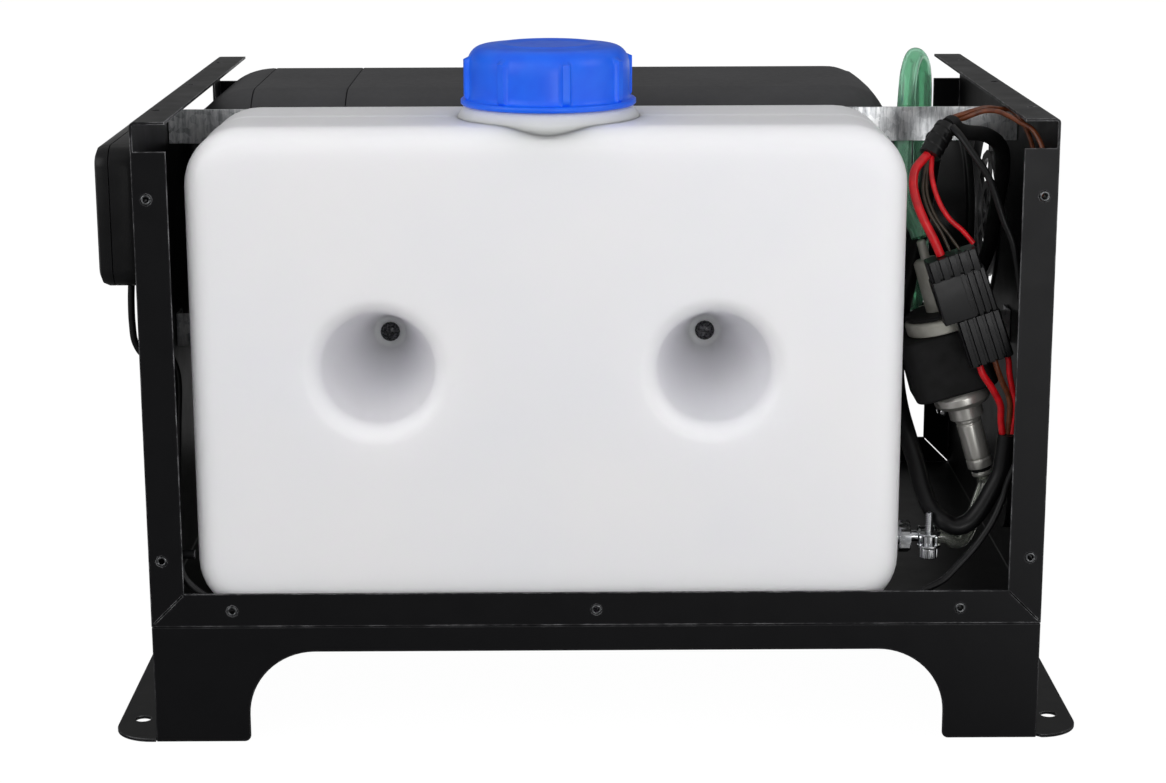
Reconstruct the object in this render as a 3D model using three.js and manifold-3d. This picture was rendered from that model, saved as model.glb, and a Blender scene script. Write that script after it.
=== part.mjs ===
// An all-in-one diesel air heater, its outer cover off: a folded case tray on a stand, a fuel tank
// in front, the heater behind it, and the fuel pump with its hoses and wiring at the right.
// Millimetres, +Z up. The origin lies on the ground, under the middle of the case. The tank side faces -Y.
import * as THREE from 'three'
import { mergeVertices } from 'three/addons/utils/BufferGeometryUtils.js'
import Module from 'manifold-3d'

const wasm = await Module()
wasm.setup()

// ---- driving dimensions ----
const gap = 0.3 // between solids that touch
const leftBay = 19.3 // clear width between the left panel and the tank
const rightBay = 62.3 // the same at the right, for the pump and the harness
const caseDepth = 277
const caseHeight = 227.4
const sheet = 1.2 // case and bracket sheet
const flange = 15.2
const bendRadius = 2
const standHeight = 55
const standSheet = 1.5
const footReach = 20.5
const footHoleRadius = 3.75
const footHoleFromFront = 26
const archWidth = 314
const archHeight = 42.7
const archRadius = 30

const tankLength = 316
const tankHeight = 221.5
const tankDepth = 90
const tankWall = 2.5
const tankFromFront = 4 // tank face behind the case front
const tankCornerRadius = 26
const tankEdgeRadius = 11
const neckRadius = 31
const neckBore = 27
const neckHeight = 25.9
const neckOffset = 1 // neck axis from the tank's middle
const neckCollarRadius = 37.5 // the soft collar moulded round the foot of the neck
const recessSpacing = 149
const recessMouthRadius = 25
const recessEndRadius = 6.5
const recessLip = 8 // soft rounding of the recess mouth
const recessFromBottom = 114
const capFlangeRadius = 39.2
const capRadius = 36.7
const capHeight = 27
const capRibs = 8
const capRibTurn = -1.353 // direction of the rib nearest the front, in radians

const stripHeight = 16
const stripBehindTank = 2
const stripBelowTop = 10.5 // middle of the upper strip under the tank's top

const heaterFromFront = 185 // heater axis behind the case front
const heaterAxisZ = 211
const heaterWidth = 145
const heaterHeight = 140
const heaterWall = 2.5
const heaterCorner = 28
const hoodClearance = 10 // warm air hood to the outside of the left panel
const hoodLength = 27
const bandLength = 45
const taperLength = 28
const noseLength = 28
const noseClearance = 12 // inlet nose to the outside of the right panel
const noseRadius = 40
const portRadius = 47 // round openings of the two side panels

const pumpFromTank = 11.6 // top of the pump, from the tank's right side
const pumpFromFront = 50
const pumpTopZ = 221
const pumpTilt = 16.1 // degrees, the outlet leaning to the tank

const controllerLength = 106
const controllerHeight = 63
const controllerDepth = 19.6
const controllerFromFront = 19
const controllerTopZ = 269
const buttonCount = 5
const buttonRadius = 3.6
const buttonTravel = 0.8

const greenHoseRadius = 4.2
const clearHoseRadius = 3.4
const leadRadius = 1.6
const loopRadius = 4.2
const tapeRadius = 5.2

// ---- derived places ----
const caseLength = leftBay + tankLength + rightBay + 2 * sheet
const halfLength = caseLength / 2
const tankCentreX = (leftBay - rightBay) / 2
const neckX = tankCentreX + neckOffset
const frontY = -caseDepth / 2
const backY = caseDepth / 2
const floorZ = standHeight
const floorTop = standHeight + sheet
const caseTop = standHeight + caseHeight
const panelInner = halfLength - sheet
const tankLeft = tankCentreX - tankLength / 2
const tankRight = tankCentreX + tankLength / 2
const tankFront = frontY + tankFromFront
const tankBack = tankFront + tankDepth
const tankMidY = (tankFront + tankBack) / 2
const tankBottom = floorTop + 0.8
const tankTop = tankBottom + tankHeight
const recessZ = tankBottom + recessFromBottom
const stripFront = tankBack + stripBehindTank
const upperStripZ = tankTop - stripBelowTop
const heaterY = frontY + heaterFromFront
const heaterBottom = heaterAxisZ - heaterHeight / 2
const splitZ = heaterAxisZ - 46 // joint between the upper and lower heater shells
const hoodX = hoodClearance - halfLength
const hoodSeamX = hoodX + hoodLength
const bandSeamX = hoodSeamX + bandLength
const noseEndX = halfLength - noseClearance
const noseX = noseEndX - noseLength
const taperX = noseX - taperLength
const cradleTop = heaterBottom - 4
const outletZ = 87
const outletY = frontY + 30
const pumpTop = [tankRight + pumpFromTank, pumpFromFront, pumpTopZ] // x, distance behind the case front, z

// Points of the right bay are counted from the tank's right side, those at the left from the left panel.
const inBay = ([x, behindFront, z]) => [tankRight + x, behindFront, z]
const atLeft = ([x, behindFront, z]) => [x - halfLength, behindFront, z]

// ---- finishes ----
const finish = (color, roughness, metalness) => ({ color, roughness, metalness })
const blackPaint = finish(0x161618, 0.38, 0.2)
const shellPlastic = finish(0x3a3a3b, 0.7, 0)
const blackPlastic = finish(0x1b1b1c, 0.5, 0)
const blackRubber = finish(0x141414, 0.8, 0)
const tankPlastic = finish(0xe1e1e6, 0.35, 0)
const bluePlastic = finish(0x2468e0, 0.35, 0)
const greenHose = finish(0x5fae86, 0.25, 0)
const clearHose = finish(0xd9dcd6, 0.25, 0)
const zinc = finish(0xb9bcbd, 0.35, 0.9)
const steel = finish(0xc9c9c6, 0.25, 0.95)
const castAluminium = finish(0xa9abad, 0.55, 0.85)
const redWire = finish(0xc81f26, 0.4, 0)
const brownWire = finish(0x5a2f1c, 0.5, 0)
const boardGreen = finish(0x1f5a3a, 0.5, 0)
const lcdGrey = finish(0x1c2224, 0.1, 0)
const gasketGrey = finish(0x5c5c58, 0.9, 0)

const group = new THREE.Group()
group.name = 'diesel_air_heater'

function addPart(name, geometry, look) {
  const mesh = new THREE.Mesh(geometry, new THREE.MeshStandardMaterial(look))
  mesh.name = name
  group.add(mesh)
  return mesh
}

// ---- solid tools ----
function toSolid(geometry) {
  const bare = geometry.clone()
  bare.deleteAttribute('normal')
  bare.deleteAttribute('uv')
  const merged = mergeVertices(bare, 1e-4)
  const vertProperties = new Float32Array(merged.attributes.position.array)
  const triVerts = new Uint32Array(merged.index.array)
  return new wasm.Manifold(new wasm.Mesh({ numProp: 3, vertProperties, triVerts }))
}

function fromSolid(solid) {
  const mesh = solid.getMesh()
  const geometry = new THREE.BufferGeometry()
  geometry.setAttribute('position', new THREE.Float32BufferAttribute(mesh.vertProperties, 3))
  geometry.setIndex(Array.from(mesh.triVerts))
  geometry.computeVertexNormals()
  return geometry
}

function join(...shapes) {
  return fromSolid(shapes.map(toSolid).reduce((a, b) => a.add(b)))
}

function cut(shape, ...tools) {
  return fromSolid(tools.map(toSolid).reduce((a, b) => a.subtract(b), toSolid(shape)))
}

function keep(shape, region) {
  return fromSolid(toSolid(shape).intersect(toSolid(region)))
}

// ---- basic shapes ----
function block(x, y, z) {
  const geometry = new THREE.BoxGeometry(x[1] - x[0], y[1] - y[0], z[1] - z[0])
  return geometry.translate((x[0] + x[1]) / 2, (y[0] + y[1]) / 2, (z[0] + z[1]) / 2)
}

// A round bar from one end to the other along x, y or z, centred on (a, b) in the other two axes.
function bar(axis, ends, a, b, radius, sides = 18) {
  const geometry = new THREE.CylinderGeometry(radius, radius, ends[1] - ends[0], sides)
  const middle = (ends[0] + ends[1]) / 2
  if (axis === 'x') return geometry.rotateZ(-Math.PI / 2).translate(middle, a, b)
  if (axis === 'y') return geometry.translate(a, middle, b)
  return geometry.rotateX(Math.PI / 2).translate(a, b, middle)
}

// A turned shape: profile points are [radius, height] and the height runs along +Z.
// The profile may run either way round; the sign of its area tells which.
function turned(profile, sides = 24) {
  const area = profile.reduce((sum, [r, h], i) => {
    const [nextR, nextH] = profile[(i + 1) % profile.length]
    return sum + r * nextH - nextR * h
  }, 0)
  const points = profile.map(([r, h]) => new THREE.Vector2(r, h))
  if (area < 0) points.reverse()
  return new THREE.LatheGeometry(points, sides).rotateX(Math.PI / 2)
}

function ring(inner, outer, low, high, sides = 24) {
  return turned([[inner, low], [outer, low], [outer, high], [inner, high], [inner, low]], sides)
}

function roundedRect(width, height, radius) {
  const shape = new THREE.Shape()
  const x = width / 2
  const y = height / 2
  shape.moveTo(-x + radius, -y)
  shape.lineTo(x - radius, -y)
  shape.absarc(x - radius, -y + radius, radius, -Math.PI / 2, 0)
  shape.absarc(x - radius, y - radius, radius, 0, Math.PI / 2)
  shape.absarc(-x + radius, y - radius, radius, Math.PI / 2, Math.PI)
  shape.absarc(-x + radius, -y + radius, radius, Math.PI, Math.PI * 1.5)
  return shape
}

// A box with rounded corners in the XZ plane and rounded front and back edges.
function softBox(width, height, depth, corner, edge, steps) {
  const shape = roundedRect(width - 2 * edge, height - 2 * edge, corner - edge)
  const settings = { depth: depth - 2 * edge, bevelThickness: edge, bevelSize: edge }
  const detail = { bevelSegments: steps, curveSegments: steps + 1, steps: 1 }
  const geometry = new THREE.ExtrudeGeometry(shape, { ...settings, ...detail, bevelEnabled: edge > 0 })
  return geometry.translate(0, 0, edge - depth / 2).rotateX(Math.PI / 2)
}

function plate(shape, thickness, curveSegments = 8) {
  return new THREE.ExtrudeGeometry(shape, { depth: thickness, bevelEnabled: false, curveSegments })
}

// A hand-picked route: steps fall evenly between its points, so that bends get as many as straights.
class Route extends THREE.CatmullRomCurve3 {
  getPointAt(t, target) {
    return this.getPoint(t, target)
  }
  getTangentAt(t, target) {
    return this.getTangent(t, target)
  }
}

function circle(radius, sides) {
  const section = new THREE.Shape()
  for (let i = 0; i < sides; i++) {
    const angle = (2 * Math.PI * i) / sides
    section[i ? 'lineTo' : 'moveTo'](radius * Math.cos(angle), radius * Math.sin(angle))
  }
  return section
}

// A hose or wire: a round section carried along a smooth curve through points,
// each given as x, distance behind the case front, z.
function hose(points, radius, stepsBetween = 2) {
  const route = points.map(([x, y, z]) => new THREE.Vector3(x, frontY + y, z))
  const curve = new Route(route, false, 'centripetal')
  const steps = (points.length - 1) * stepsBetween
  const sides = radius < 2.5 ? 6 : 8
  return new THREE.ExtrudeGeometry(circle(radius, sides), { steps, extrudePath: curve, curveSegments: 1 })
}

// A closed skin through rings of points; each ring has the same number of points.
function loft(rings) {
  const count = rings[0].length
  const points = rings.flat()
  const index = []
  for (let r = 0; r + 1 < rings.length; r++) {
    for (let i = 0; i < count; i++) {
      const a = r * count + i
      const b = r * count + ((i + 1) % count)
      index.push(a, b, b + count, a, b + count, a + count)
    }
  }
  for (let i = 1; i + 1 < count; i++) {
    const last = (rings.length - 1) * count
    index.push(0, i + 1, i)
    index.push(last, last + i, last + i + 1)
  }
  const geometry = new THREE.BufferGeometry()
  geometry.setAttribute('position', new THREE.Float32BufferAttribute(points.flat(), 3))
  geometry.setIndex(index)
  return geometry
}

// ---- case tray: floor, side panels and their flanges, folded from one sheet ----
function caseTray() {
  const wall = new THREE.Shape()
  const bend = bendRadius
  const innerBend = bendRadius - sheet
  const x = halfLength
  const lip = halfLength - flange
  wall.moveTo(-x + bend, floorZ)
  wall.lineTo(x - bend, floorZ)
  wall.absarc(x - bend, floorZ + bend, bend, -Math.PI / 2, 0)
  wall.absarc(x - bend, caseTop - bend, bend, 0, Math.PI / 2)
  wall.lineTo(lip, caseTop)
  wall.lineTo(lip, caseTop - sheet)
  wall.absarc(x - bend, caseTop - bend, innerBend, Math.PI / 2, 0, true)
  wall.absarc(x - bend, floorZ + bend, innerBend, 0, -Math.PI / 2, true)
  wall.absarc(-x + bend, floorZ + bend, innerBend, -Math.PI / 2, -Math.PI, true)
  wall.absarc(-x + bend, caseTop - bend, innerBend, Math.PI, Math.PI / 2, true)
  wall.lineTo(-lip, caseTop - sheet)
  wall.lineTo(-lip, caseTop)
  wall.absarc(-x + bend, caseTop - bend, bend, Math.PI / 2, Math.PI)
  wall.absarc(-x + bend, floorZ + bend, bend, Math.PI, Math.PI * 1.5)
  const tunnel = plate(wall, caseDepth, 2).rotateX(Math.PI / 2).translate(0, backY, 0)

  const topCornerBack = 11.3 // the top flange starts this far behind the front
  const topCornerDown = 12.9 // and the front flange this far below the top
  const rim = new THREE.Shape()
  rim.moveTo(-x, floorZ)
  rim.lineTo(x, floorZ)
  rim.lineTo(x, caseTop - topCornerDown)
  rim.lineTo(lip, caseTop - topCornerDown)
  rim.lineTo(lip, floorZ + flange)
  rim.lineTo(-lip, floorZ + flange)
  rim.lineTo(-lip, caseTop - topCornerDown)
  rim.lineTo(-x, caseTop - topCornerDown)
  const frontRim = plate(rim, sheet).rotateX(Math.PI / 2).translate(0, frontY + sheet, 0)
  const backRim = frontRim.clone().translate(0, caseDepth - sheet, 0)

  const slope = new THREE.Shape() // the sloped corner at the top of each panel end
  slope.moveTo(frontY - 1, caseTop - topCornerDown)
  slope.lineTo(frontY, caseTop - topCornerDown)
  slope.lineTo(frontY + topCornerBack, caseTop)
  slope.lineTo(frontY + topCornerBack, caseTop + 1)
  slope.lineTo(frontY - 1, caseTop + 1)
  const corner = plate(slope, 2 * x + 2)
  corner.rotateX(Math.PI / 2).rotateZ(Math.PI / 2).translate(x + 1, 0, 0)
  const backCorner = corner.clone().rotateZ(Math.PI)

  const cuts = [corner, backCorner]
  for (const side of [-1, 1]) {
    for (const y of [frontY, backY]) {
      const slit = new THREE.BoxGeometry(flange * Math.SQRT2 - 3, 4, 0.5)
      slit.rotateY((side * Math.PI) / 4)
      cuts.push(slit.translate(side * (x - flange / 2 - 0.4), y, floorZ + flange / 2 + 0.4))
      for (const z of [floorZ + 30.7, caseTop - 33.7]) {
        cuts.push(bar('y', [y - 3, y + 3], side * (x - 5.9), z, 2.6, 8))
      }
    }
    for (const y of [-97, 5, 107]) {
      cuts.push(bar('z', [caseTop - 4, caseTop + 4], side * (x - 5), y, 2.1, 8))
    }
  }
  for (const hx of [-163.5, 0, 163.5]) {
    for (const y of [frontY, backY]) cuts.push(bar('y', [y - 3, y + 3], hx, floorZ + 7.2, 2.6, 8))
  }
  cuts.push(bar('x', [x - 5, x + 5], heaterY, heaterAxisZ, portRadius, 28))
  cuts.push(bar('x', [-x - 5, -x + 5], heaterY, heaterAxisZ, portRadius, 28))
  const ventSlot = block([-x - 5, -x + 5], [frontY + 120, frontY + 256], [floorZ + 206, floorZ + 219])
  cuts.push(ventSlot)
  cuts.push(bar('x', [-x - 5, -x + 5], grommetPlace[0], grommetPlace[1], 4.6, 12))
  cuts.push(bar('x', [x - 5, x + 5], glandPlace[0], glandPlace[1], 9, 24))
  for (const [pipeX, pipeRadius] of pipePlaces) {
    cuts.push(bar('z', [floorZ - 5, floorZ + 5], pipeX, heaterY, pipeRadius + 3, 12))
  }
  const stud = bar('x', [-x + sheet / 2, tankLeft - 1], studPlace[0], studPlace[1], 2, 16)
  return join(cut(join(tunnel, frontRim, backRim), ...cuts), stud)
}

const grommetPlace = [frontY + 40, 172] // y, z in the left panel
const glandPlace = [frontY + 60, 95.5] // y, z in the right panel
const studPlace = [frontY + 10, 86]
const pipePlaces = [[-70, 12.5], [-20, 12.5]] // x and radius of the exhaust and intake pipes

addPart('case_tray', caseTray(), blackPaint)

// ---- stand ----
function standPlate() {
  const top = standHeight - gap
  const x = halfLength
  const arch = archWidth / 2
  const foot = 3
  const shape = new THREE.Shape()
  shape.moveTo(-x, 0)
  shape.lineTo(-arch - foot, 0)
  shape.absarc(-arch - foot, foot, foot, -Math.PI / 2, 0)
  shape.absarc(-arch + archRadius, archHeight - archRadius, archRadius, Math.PI, Math.PI / 2, true)
  shape.absarc(arch - archRadius, archHeight - archRadius, archRadius, Math.PI / 2, 0, true)
  shape.absarc(arch + foot, foot, foot, Math.PI, Math.PI * 1.5)
  shape.lineTo(x, 0)
  shape.lineTo(x, top)
  shape.lineTo(-x, top)
  const face = plate(shape, standSheet).rotateX(Math.PI / 2).translate(0, frontY + standSheet, 0)
  const lip = block([-x + 14, x - 14], [frontY, frontY + 13], [top - standSheet, top])
  return join(face, lip)
}

function sideRail() {
  const top = standHeight - gap
  const inset = standSheet + gap
  const x = halfLength
  const corner = 18
  const reach = x + footReach
  const tab = new THREE.Shape()
  tab.moveTo(x + gap, frontY)
  tab.absarc(reach - corner, frontY + corner, corner, -Math.PI / 2, 0)
  tab.absarc(reach - corner, backY - corner, corner, 0, Math.PI / 2)
  tab.lineTo(x + gap, backY)
  tab.lineTo(x + gap, backY - inset)
  tab.lineTo(x - standSheet, backY - inset)
  tab.lineTo(x - standSheet, frontY + inset)
  tab.lineTo(x + gap, frontY + inset)
  const wall = block([x - standSheet, x], [frontY + inset, backY - inset], [0, top])
  const lip = block([x - 13, x], [frontY + 15, backY - 15], [top - standSheet, top])
  const holes = [frontY + footHoleFromFront, backY - footHoleFromFront].map((y) =>
    bar('z', [-2, 4], x + footReach / 2, y, footHoleRadius, 16)
  )
  return cut(join(plate(tab, standSheet, 6), wall, lip), ...holes)
}

addPart('stand_front', standPlate(), blackPaint)
addPart('stand_back', standPlate().rotateZ(Math.PI), blackPaint)
addPart('stand_right', sideRail(), blackPaint)
addPart('stand_left', sideRail().rotateZ(Math.PI), blackPaint)

// ---- tank ----
const recessPlaces = [-1, 1].map((side) => tankCentreX - 0.5 + (side * recessSpacing) / 2)

// The tapered screw recess, opened to its mouth with a soft rounding; grown by a wall for the inner skin.
function recess(x, wall) {
  const length = tankDepth - tankWall
  const profile = [[0, -1 - wall]]
  profile.push([recessMouthRadius + recessLip + wall, -1 - wall])
  for (let i = 0; i <= 2; i++) {
    const angle = (Math.PI / 2) * (i / 2)
    const inward = recessLip * Math.sin(angle)
    const deep = recessLip * (1 - Math.cos(angle))
    profile.push([recessMouthRadius + recessLip + wall - inward, deep])
  }
  profile.push([recessEndRadius + wall, length + (wall ? 5 : 0)])
  profile.push([0, length + (wall ? 5 : 0)])
  return turned(profile, 20).rotateX(-Math.PI / 2).translate(x, tankFront, recessZ)
}

function tank() {
  const middle = [tankCentreX, tankMidY, tankBottom + tankHeight / 2]
  const outer = softBox(tankLength, tankHeight, tankDepth, tankCornerRadius, tankEdgeRadius, 3)
  outer.translate(...middle)
  const w = tankWall
  const corner = tankCornerRadius - w
  const edge = tankEdgeRadius - w
  const inner = softBox(tankLength - 2 * w, tankHeight - 2 * w, tankDepth - 2 * w, corner, edge, 1)
  const cavity = cut(inner.translate(...middle), ...recessPlaces.map((x) => recess(x, w)))
  const neck = bar('z', [tankTop - 6, tankTop + neckHeight], neckX, tankMidY, neckRadius, 20)
  const shoulder = bar('z', [tankTop - 6, tankTop + 4.6], neckX, tankMidY, neckCollarRadius, 20)
  const bore = bar('z', [tankTop - 12, tankTop + neckHeight + 5], neckX, tankMidY, neckBore, 20)
  const voids = recessPlaces.map((x) => recess(x, 0))
  const screwHoles = recessPlaces.map((x) => bar('y', [tankBack - 6, tankBack + 2], x, recessZ, 2.3, 8))
  const outlet = bar('x', [tankRight - 8, tankRight + 4], outletY, outletZ, 4 + gap, 12)
  return cut(join(outer, neck, shoulder), cavity, bore, ...voids, ...screwHoles, outlet)
}

addPart('fuel_tank', tank(), tankPlastic)

// ---- cap and its liner ----
const capFoot = tankTop + 5.5
const capRoof = capFoot + capHeight

function fuelCap() {
  const bore = neckRadius + 0.9
  const roofInside = capRoof - 4
  const dome = [[31, capRoof - 1.2], [34.6, capRoof - 4.4], [capRadius - 0.3, capRoof - 8]]
  const top = [[0, capRoof], [27, capRoof], ...dome]
  const side = [[capRadius, capFoot + 3], [capFlangeRadius, capFoot + 2.4], [capFlangeRadius, capFoot]]
  const inside = [[bore, capFoot], [bore, roofInside], [0, roofInside]]
  const body = turned([...top, ...side, ...inside], 28)
  const ribs = []
  for (let i = 0; i < capRibs; i++) {
    const rib = block([capRadius - 3, capRadius + 1.4], [-2.1, 2.1], [capFoot + 2, capRoof - 5])
    ribs.push(rib.rotateZ(capRibTurn + (2 * Math.PI * i) / capRibs))
  }
  return join(body, ...ribs).translate(neckX, tankMidY, 0)
}

const linerTop = capRoof - 4 - gap
addPart('filler_cap', fuelCap(), bluePlastic)
addPart(
  'cap_liner',
  bar('z', [tankTop + neckHeight + gap, linerTop], neckX, tankMidY, neckRadius, 20),
  blackRubber
)

// ---- cross strips behind the tank and the tank screws ----
function crossStrip(z) {
  const end = panelInner - gap
  const height = [z - stripHeight / 2, z + stripHeight / 2]
  const strip = block([-end, end], [stripFront, stripFront + sheet], height)
  const tabs = [-1, 1].map((side) => {
    const x = side < 0 ? [-end, -end + sheet] : [end - sheet, end]
    return block(x, [stripFront, stripFront + 14], [z - stripHeight / 2, z + stripHeight / 2])
  })
  return join(strip, ...tabs)
}

const screwShank = 1.9
const lowerStrip = cut(
  crossStrip(recessZ),
  ...recessPlaces.map((x) => bar('y', [stripFront - 2, stripFront + 4], x, recessZ, screwShank + gap, 12))
)
addPart('cross_strip_upper', crossStrip(upperStripZ), zinc)
addPart('cross_strip_lower', lowerStrip, zinc)

function tankScrew(x) {
  const seat = tankBack - tankWall - gap
  const head = turned([[0, 0], [4.6, 0], [4.6, 1.2], [3.6, 2.4], [2, 3], [0, 3.1]], 16)
  head.rotateX(Math.PI / 2).translate(x, seat, recessZ)
  const shank = bar('y', [seat - 1, stripFront + 9], x, recessZ, screwShank, 16)
  const slots = [0, Math.PI / 2].map((turn) =>
    new THREE.BoxGeometry(4.6, 3, 0.9).rotateY(turn).translate(x, seat - 3, recessZ)
  )
  return cut(join(head, shank), ...slots)
}
addPart('tank_screw_left', tankScrew(recessPlaces[0]), zinc)
addPart('tank_screw_right', tankScrew(recessPlaces[1]), zinc)

// ---- tank outlet and its hose clamp ----
const outletNut = tankRight + gap
const hoseStart = outletNut + 12
function outletFitting() {
  const nut = bar('x', [outletNut + 1.9, outletNut + 7.2], outletY, outletZ, 7.6, 6)
  const stem = bar('x', [tankRight - 9, outletNut + 3], outletY, outletZ, 4, 16)
  const barb = bar('x', [outletNut + 6, hoseStart - gap], outletY, outletZ, 2.6, 16)
  return join(nut, stem, barb)
}
addPart('tank_outlet', outletFitting(), zinc)

const clampX = hoseStart + 3.2
const clampScrewTop = 13.5 // above the hose axis
function hoseClamp() {
  const inner = clearHoseRadius + gap
  const band = ring(inner, inner + 1, -4.2, 4.2, 24).rotateY(Math.PI / 2)
  const screwY = outletY - inner - 2.2
  const lugY = [screwY - 1.8, outletY - inner]
  const lug = block([clampX - 4, clampX + 4], lugY, [outletZ - 3, outletZ + 3.4])
  const washers = [-3.2, 2.4].map((low) => {
    return bar('z', [outletZ + low, outletZ + low + 1.1], clampX, screwY, 5.4, 16)
  })
  const screw = bar('z', [outletZ - 8, outletZ + clampScrewTop], clampX, screwY, 1.6, 12)
  const head = bar('z', [outletZ - 8.4, outletZ - 3.5], clampX, screwY, 4, 12)
  const whole = join(band.translate(clampX, outletY, outletZ), lug, ...washers, screw, head)
  return cut(whole, bar('x', [clampX - 6, clampX + 6], outletY, outletZ, inner, 24))
}
addPart('hose_clamp', hoseClamp(), steel)

// ---- fuel pump, built along its own axis and tilted into place ----
const tilt = THREE.MathUtils.degToRad(pumpTilt)
function alongPump(geometry) {
  return geometry.rotateY(-tilt).translate(pumpTop[0], frontY + pumpTop[1], pumpTop[2])
}
function pumpPoint(distance) {
  return [pumpTop[0] + distance * Math.sin(tilt), pumpTop[1], pumpTop[2] - distance * Math.cos(tilt)]
}
// Stations along the pump axis, from the tip of the outlet nipple.
const neckStart = 9
const bandStart = 33
const sleeveStart = 42
const sleeveEnd = 71.6
const collarStart = 80.2
const tubeStart = 86.2
const tubeEnd = 110.7
const nippleEnd = 116.7
const fuelBore = 0.9
const canRadius = 12.2
const bandRadius = 16.8
const plungerBore = 3.6
const plungerRadius = 3.4
const plungerStart = 89.2
const plungerLength = 9

// The can runs through the rubber block; the round band above the block has a tail to the lower strip.
function pumpBody() {
  const profile = [
    [fuelBore, 0], [fuelBore, -sleeveEnd], [canRadius, -sleeveEnd], [canRadius, -sleeveStart + gap],
    [bandRadius, -sleeveStart + gap], [bandRadius, -bandStart], [6, -bandStart], [6, -neckStart - 1],
    [5.2, -neckStart], [2.1, -neckStart], [2.1, -1], [1.7, 0], [fuelBore, 0]
  ]
  const low = -sleeveStart + gap
  const reach = stripFront - gap - (frontY + pumpTop[1])
  const tail = block([-5, 5], [8, reach], [low, low + 1.5])
  const foot = block([-5, 5], [reach - 1.5, reach], [low - 9, low + 1.5])
  return alongPump(join(turned(profile, 24), tail, foot))
}

// The rubber block that the pump hangs in, square with rounded corners.
const sleeveX = [-21.5, 17]
const sleeveY = [-15.5, 19]
function pumpSleeve() {
  const outline = roundedRect(sleeveX[1] - sleeveX[0], sleeveY[1] - sleeveY[0], 6)
  const middle = [(sleeveX[0] + sleeveX[1]) / 2, (sleeveY[0] + sleeveY[1]) / 2]
  const body = plate(outline, sleeveEnd - sleeveStart, 4).translate(...middle, -sleeveEnd)
  const bore = bar('z', [-sleeveEnd - 1, -sleeveStart + 1], 0, 0, canRadius + gap, 24)
  return alongPump(cut(body, bore))
}

function pumpEnd() {
  const profile = [
    [plungerBore, -tubeEnd + 3], [fuelBore, -tubeEnd + 3], [fuelBore, -nippleEnd], [2.1, -nippleEnd],
    [2.1, -tubeEnd - 4], [4.8, -tubeEnd - 4], [4.8, -tubeEnd - 2.4], [4.4, -tubeEnd - 2.4],
    [4.4, -tubeEnd], [5.9, -tubeEnd], [5.9, -tubeStart], [7.8, -tubeStart], [7.8, -collarStart],
    [11.2, -collarStart + 0.8], [13.2, -collarStart + 3], [13.2, -collarStart + 5.6],
    [12, -sleeveEnd - gap], [plungerBore, -sleeveEnd - gap], [plungerBore, -tubeEnd + 3]
  ]
  return alongPump(turned(profile, 22))
}
addPart('pump_body', pumpBody(), zinc)
addPart('pump_sleeve', pumpSleeve(), blackRubber)
addPart('pump_end', pumpEnd(), steel)
addPart(
  'pump_plunger',
  alongPump(bar('z', [-plungerStart - plungerLength, -plungerStart], 0, 0, plungerRadius - gap, 12)),
  steel
)

// The return spring: one unbroken wire wound round the pump axis, below the plunger.
function plungerSpring() {
  const curls = 5
  const wire = 0.35
  const top = -plungerStart - plungerLength - gap - wire
  const bottom = -tubeEnd + 3 + gap + wire
  const points = []
  for (let i = 0; i <= curls * 8; i++) {
    const angle = (2 * Math.PI * i) / 8
    const height = top + ((bottom - top) * i) / (curls * 8)
    points.push(new THREE.Vector3(2.4 * Math.cos(angle), 2.4 * Math.sin(angle), height))
  }
  const curve = new THREE.CatmullRomCurve3(points)
  return alongPump(new THREE.ExtrudeGeometry(circle(wire, 5), { steps: curls * 8, extrudePath: curve }))
}
addPart('plunger_spring', plungerSpring(), steel)

// ---- heater shells ----
// A ring of points round the heater axis at x: a rounded rectangle blended towards a circle.
function heaterSection(x, inset, blend, circle) {
  const count = 32
  const hw = heaterWidth / 2 - inset
  const hh = heaterHeight / 2 - inset
  const corner = Math.max(heaterCorner - inset, 4)
  const points = []
  for (let i = 0; i < count; i++) {
    const angle = (2 * Math.PI * (i + 0.5)) / count
    const dx = Math.cos(angle)
    const dz = Math.sin(angle)
    const reach = rayLength(dx, dz, hw, hh, corner)
    const radius = reach + (circle - reach) * blend
    points.push([x, heaterY + radius * dx, heaterAxisZ + radius * dz])
  }
  return points
}
// Distance from the middle of a rounded rectangle to its edge in the direction (dx, dz).
function rayLength(dx, dz, hw, hh, corner) {
  const ax = Math.abs(dx)
  const az = Math.abs(dz)
  const flat = Math.min(hw / Math.max(ax, 1e-6), hh / Math.max(az, 1e-6))
  const px = ax * flat
  const pz = az * flat
  const cx = hw - corner
  const cz = hh - corner
  if (px <= cx || pz <= cz) return flat
  const along = ax * cx + az * cz
  return along + Math.sqrt(along * along - (cx * cx + cz * cz) + corner * corner)
}

function shellBody(inset) {
  const stops = [0, 0.35, 0.7, 1]
  const start = bandSeamX + gap / 2 - (inset ? 1 : 0)
  const rings = [heaterSection(start, inset, 0, 0), heaterSection(taperX - 8, inset, 0, 0)]
  for (const t of stops) {
    const x = taperX + (noseX - taperX) * t
    rings.push(heaterSection(x, inset, 0.06 + 0.94 * t * t * (3 - 2 * t), noseRadius - inset))
  }
  if (inset) rings.push(heaterSection(noseX + 1, inset, 1, noseRadius - inset))
  return loft(rings)
}
const wholeShell = cut(shellBody(0), shellBody(heaterWall))
const everything = 300
const sideToSide = [-everything, everything]
const upperRegion = block(sideToSide, sideToSide, [splitZ + gap / 2, everything + 100])
const lowerRegion = block([-everything, everything], [-everything, everything], [0, splitZ - gap / 2])
const baseCut = block([-100, 10], [heaterY - 42, heaterY + 42], [heaterBottom - 5, heaterBottom + 6])
addPart('heater_shell_upper', keep(wholeShell, upperRegion), shellPlastic)
addPart('heater_shell_lower', cut(keep(wholeShell, lowerRegion), baseCut), shellPlastic)

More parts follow.
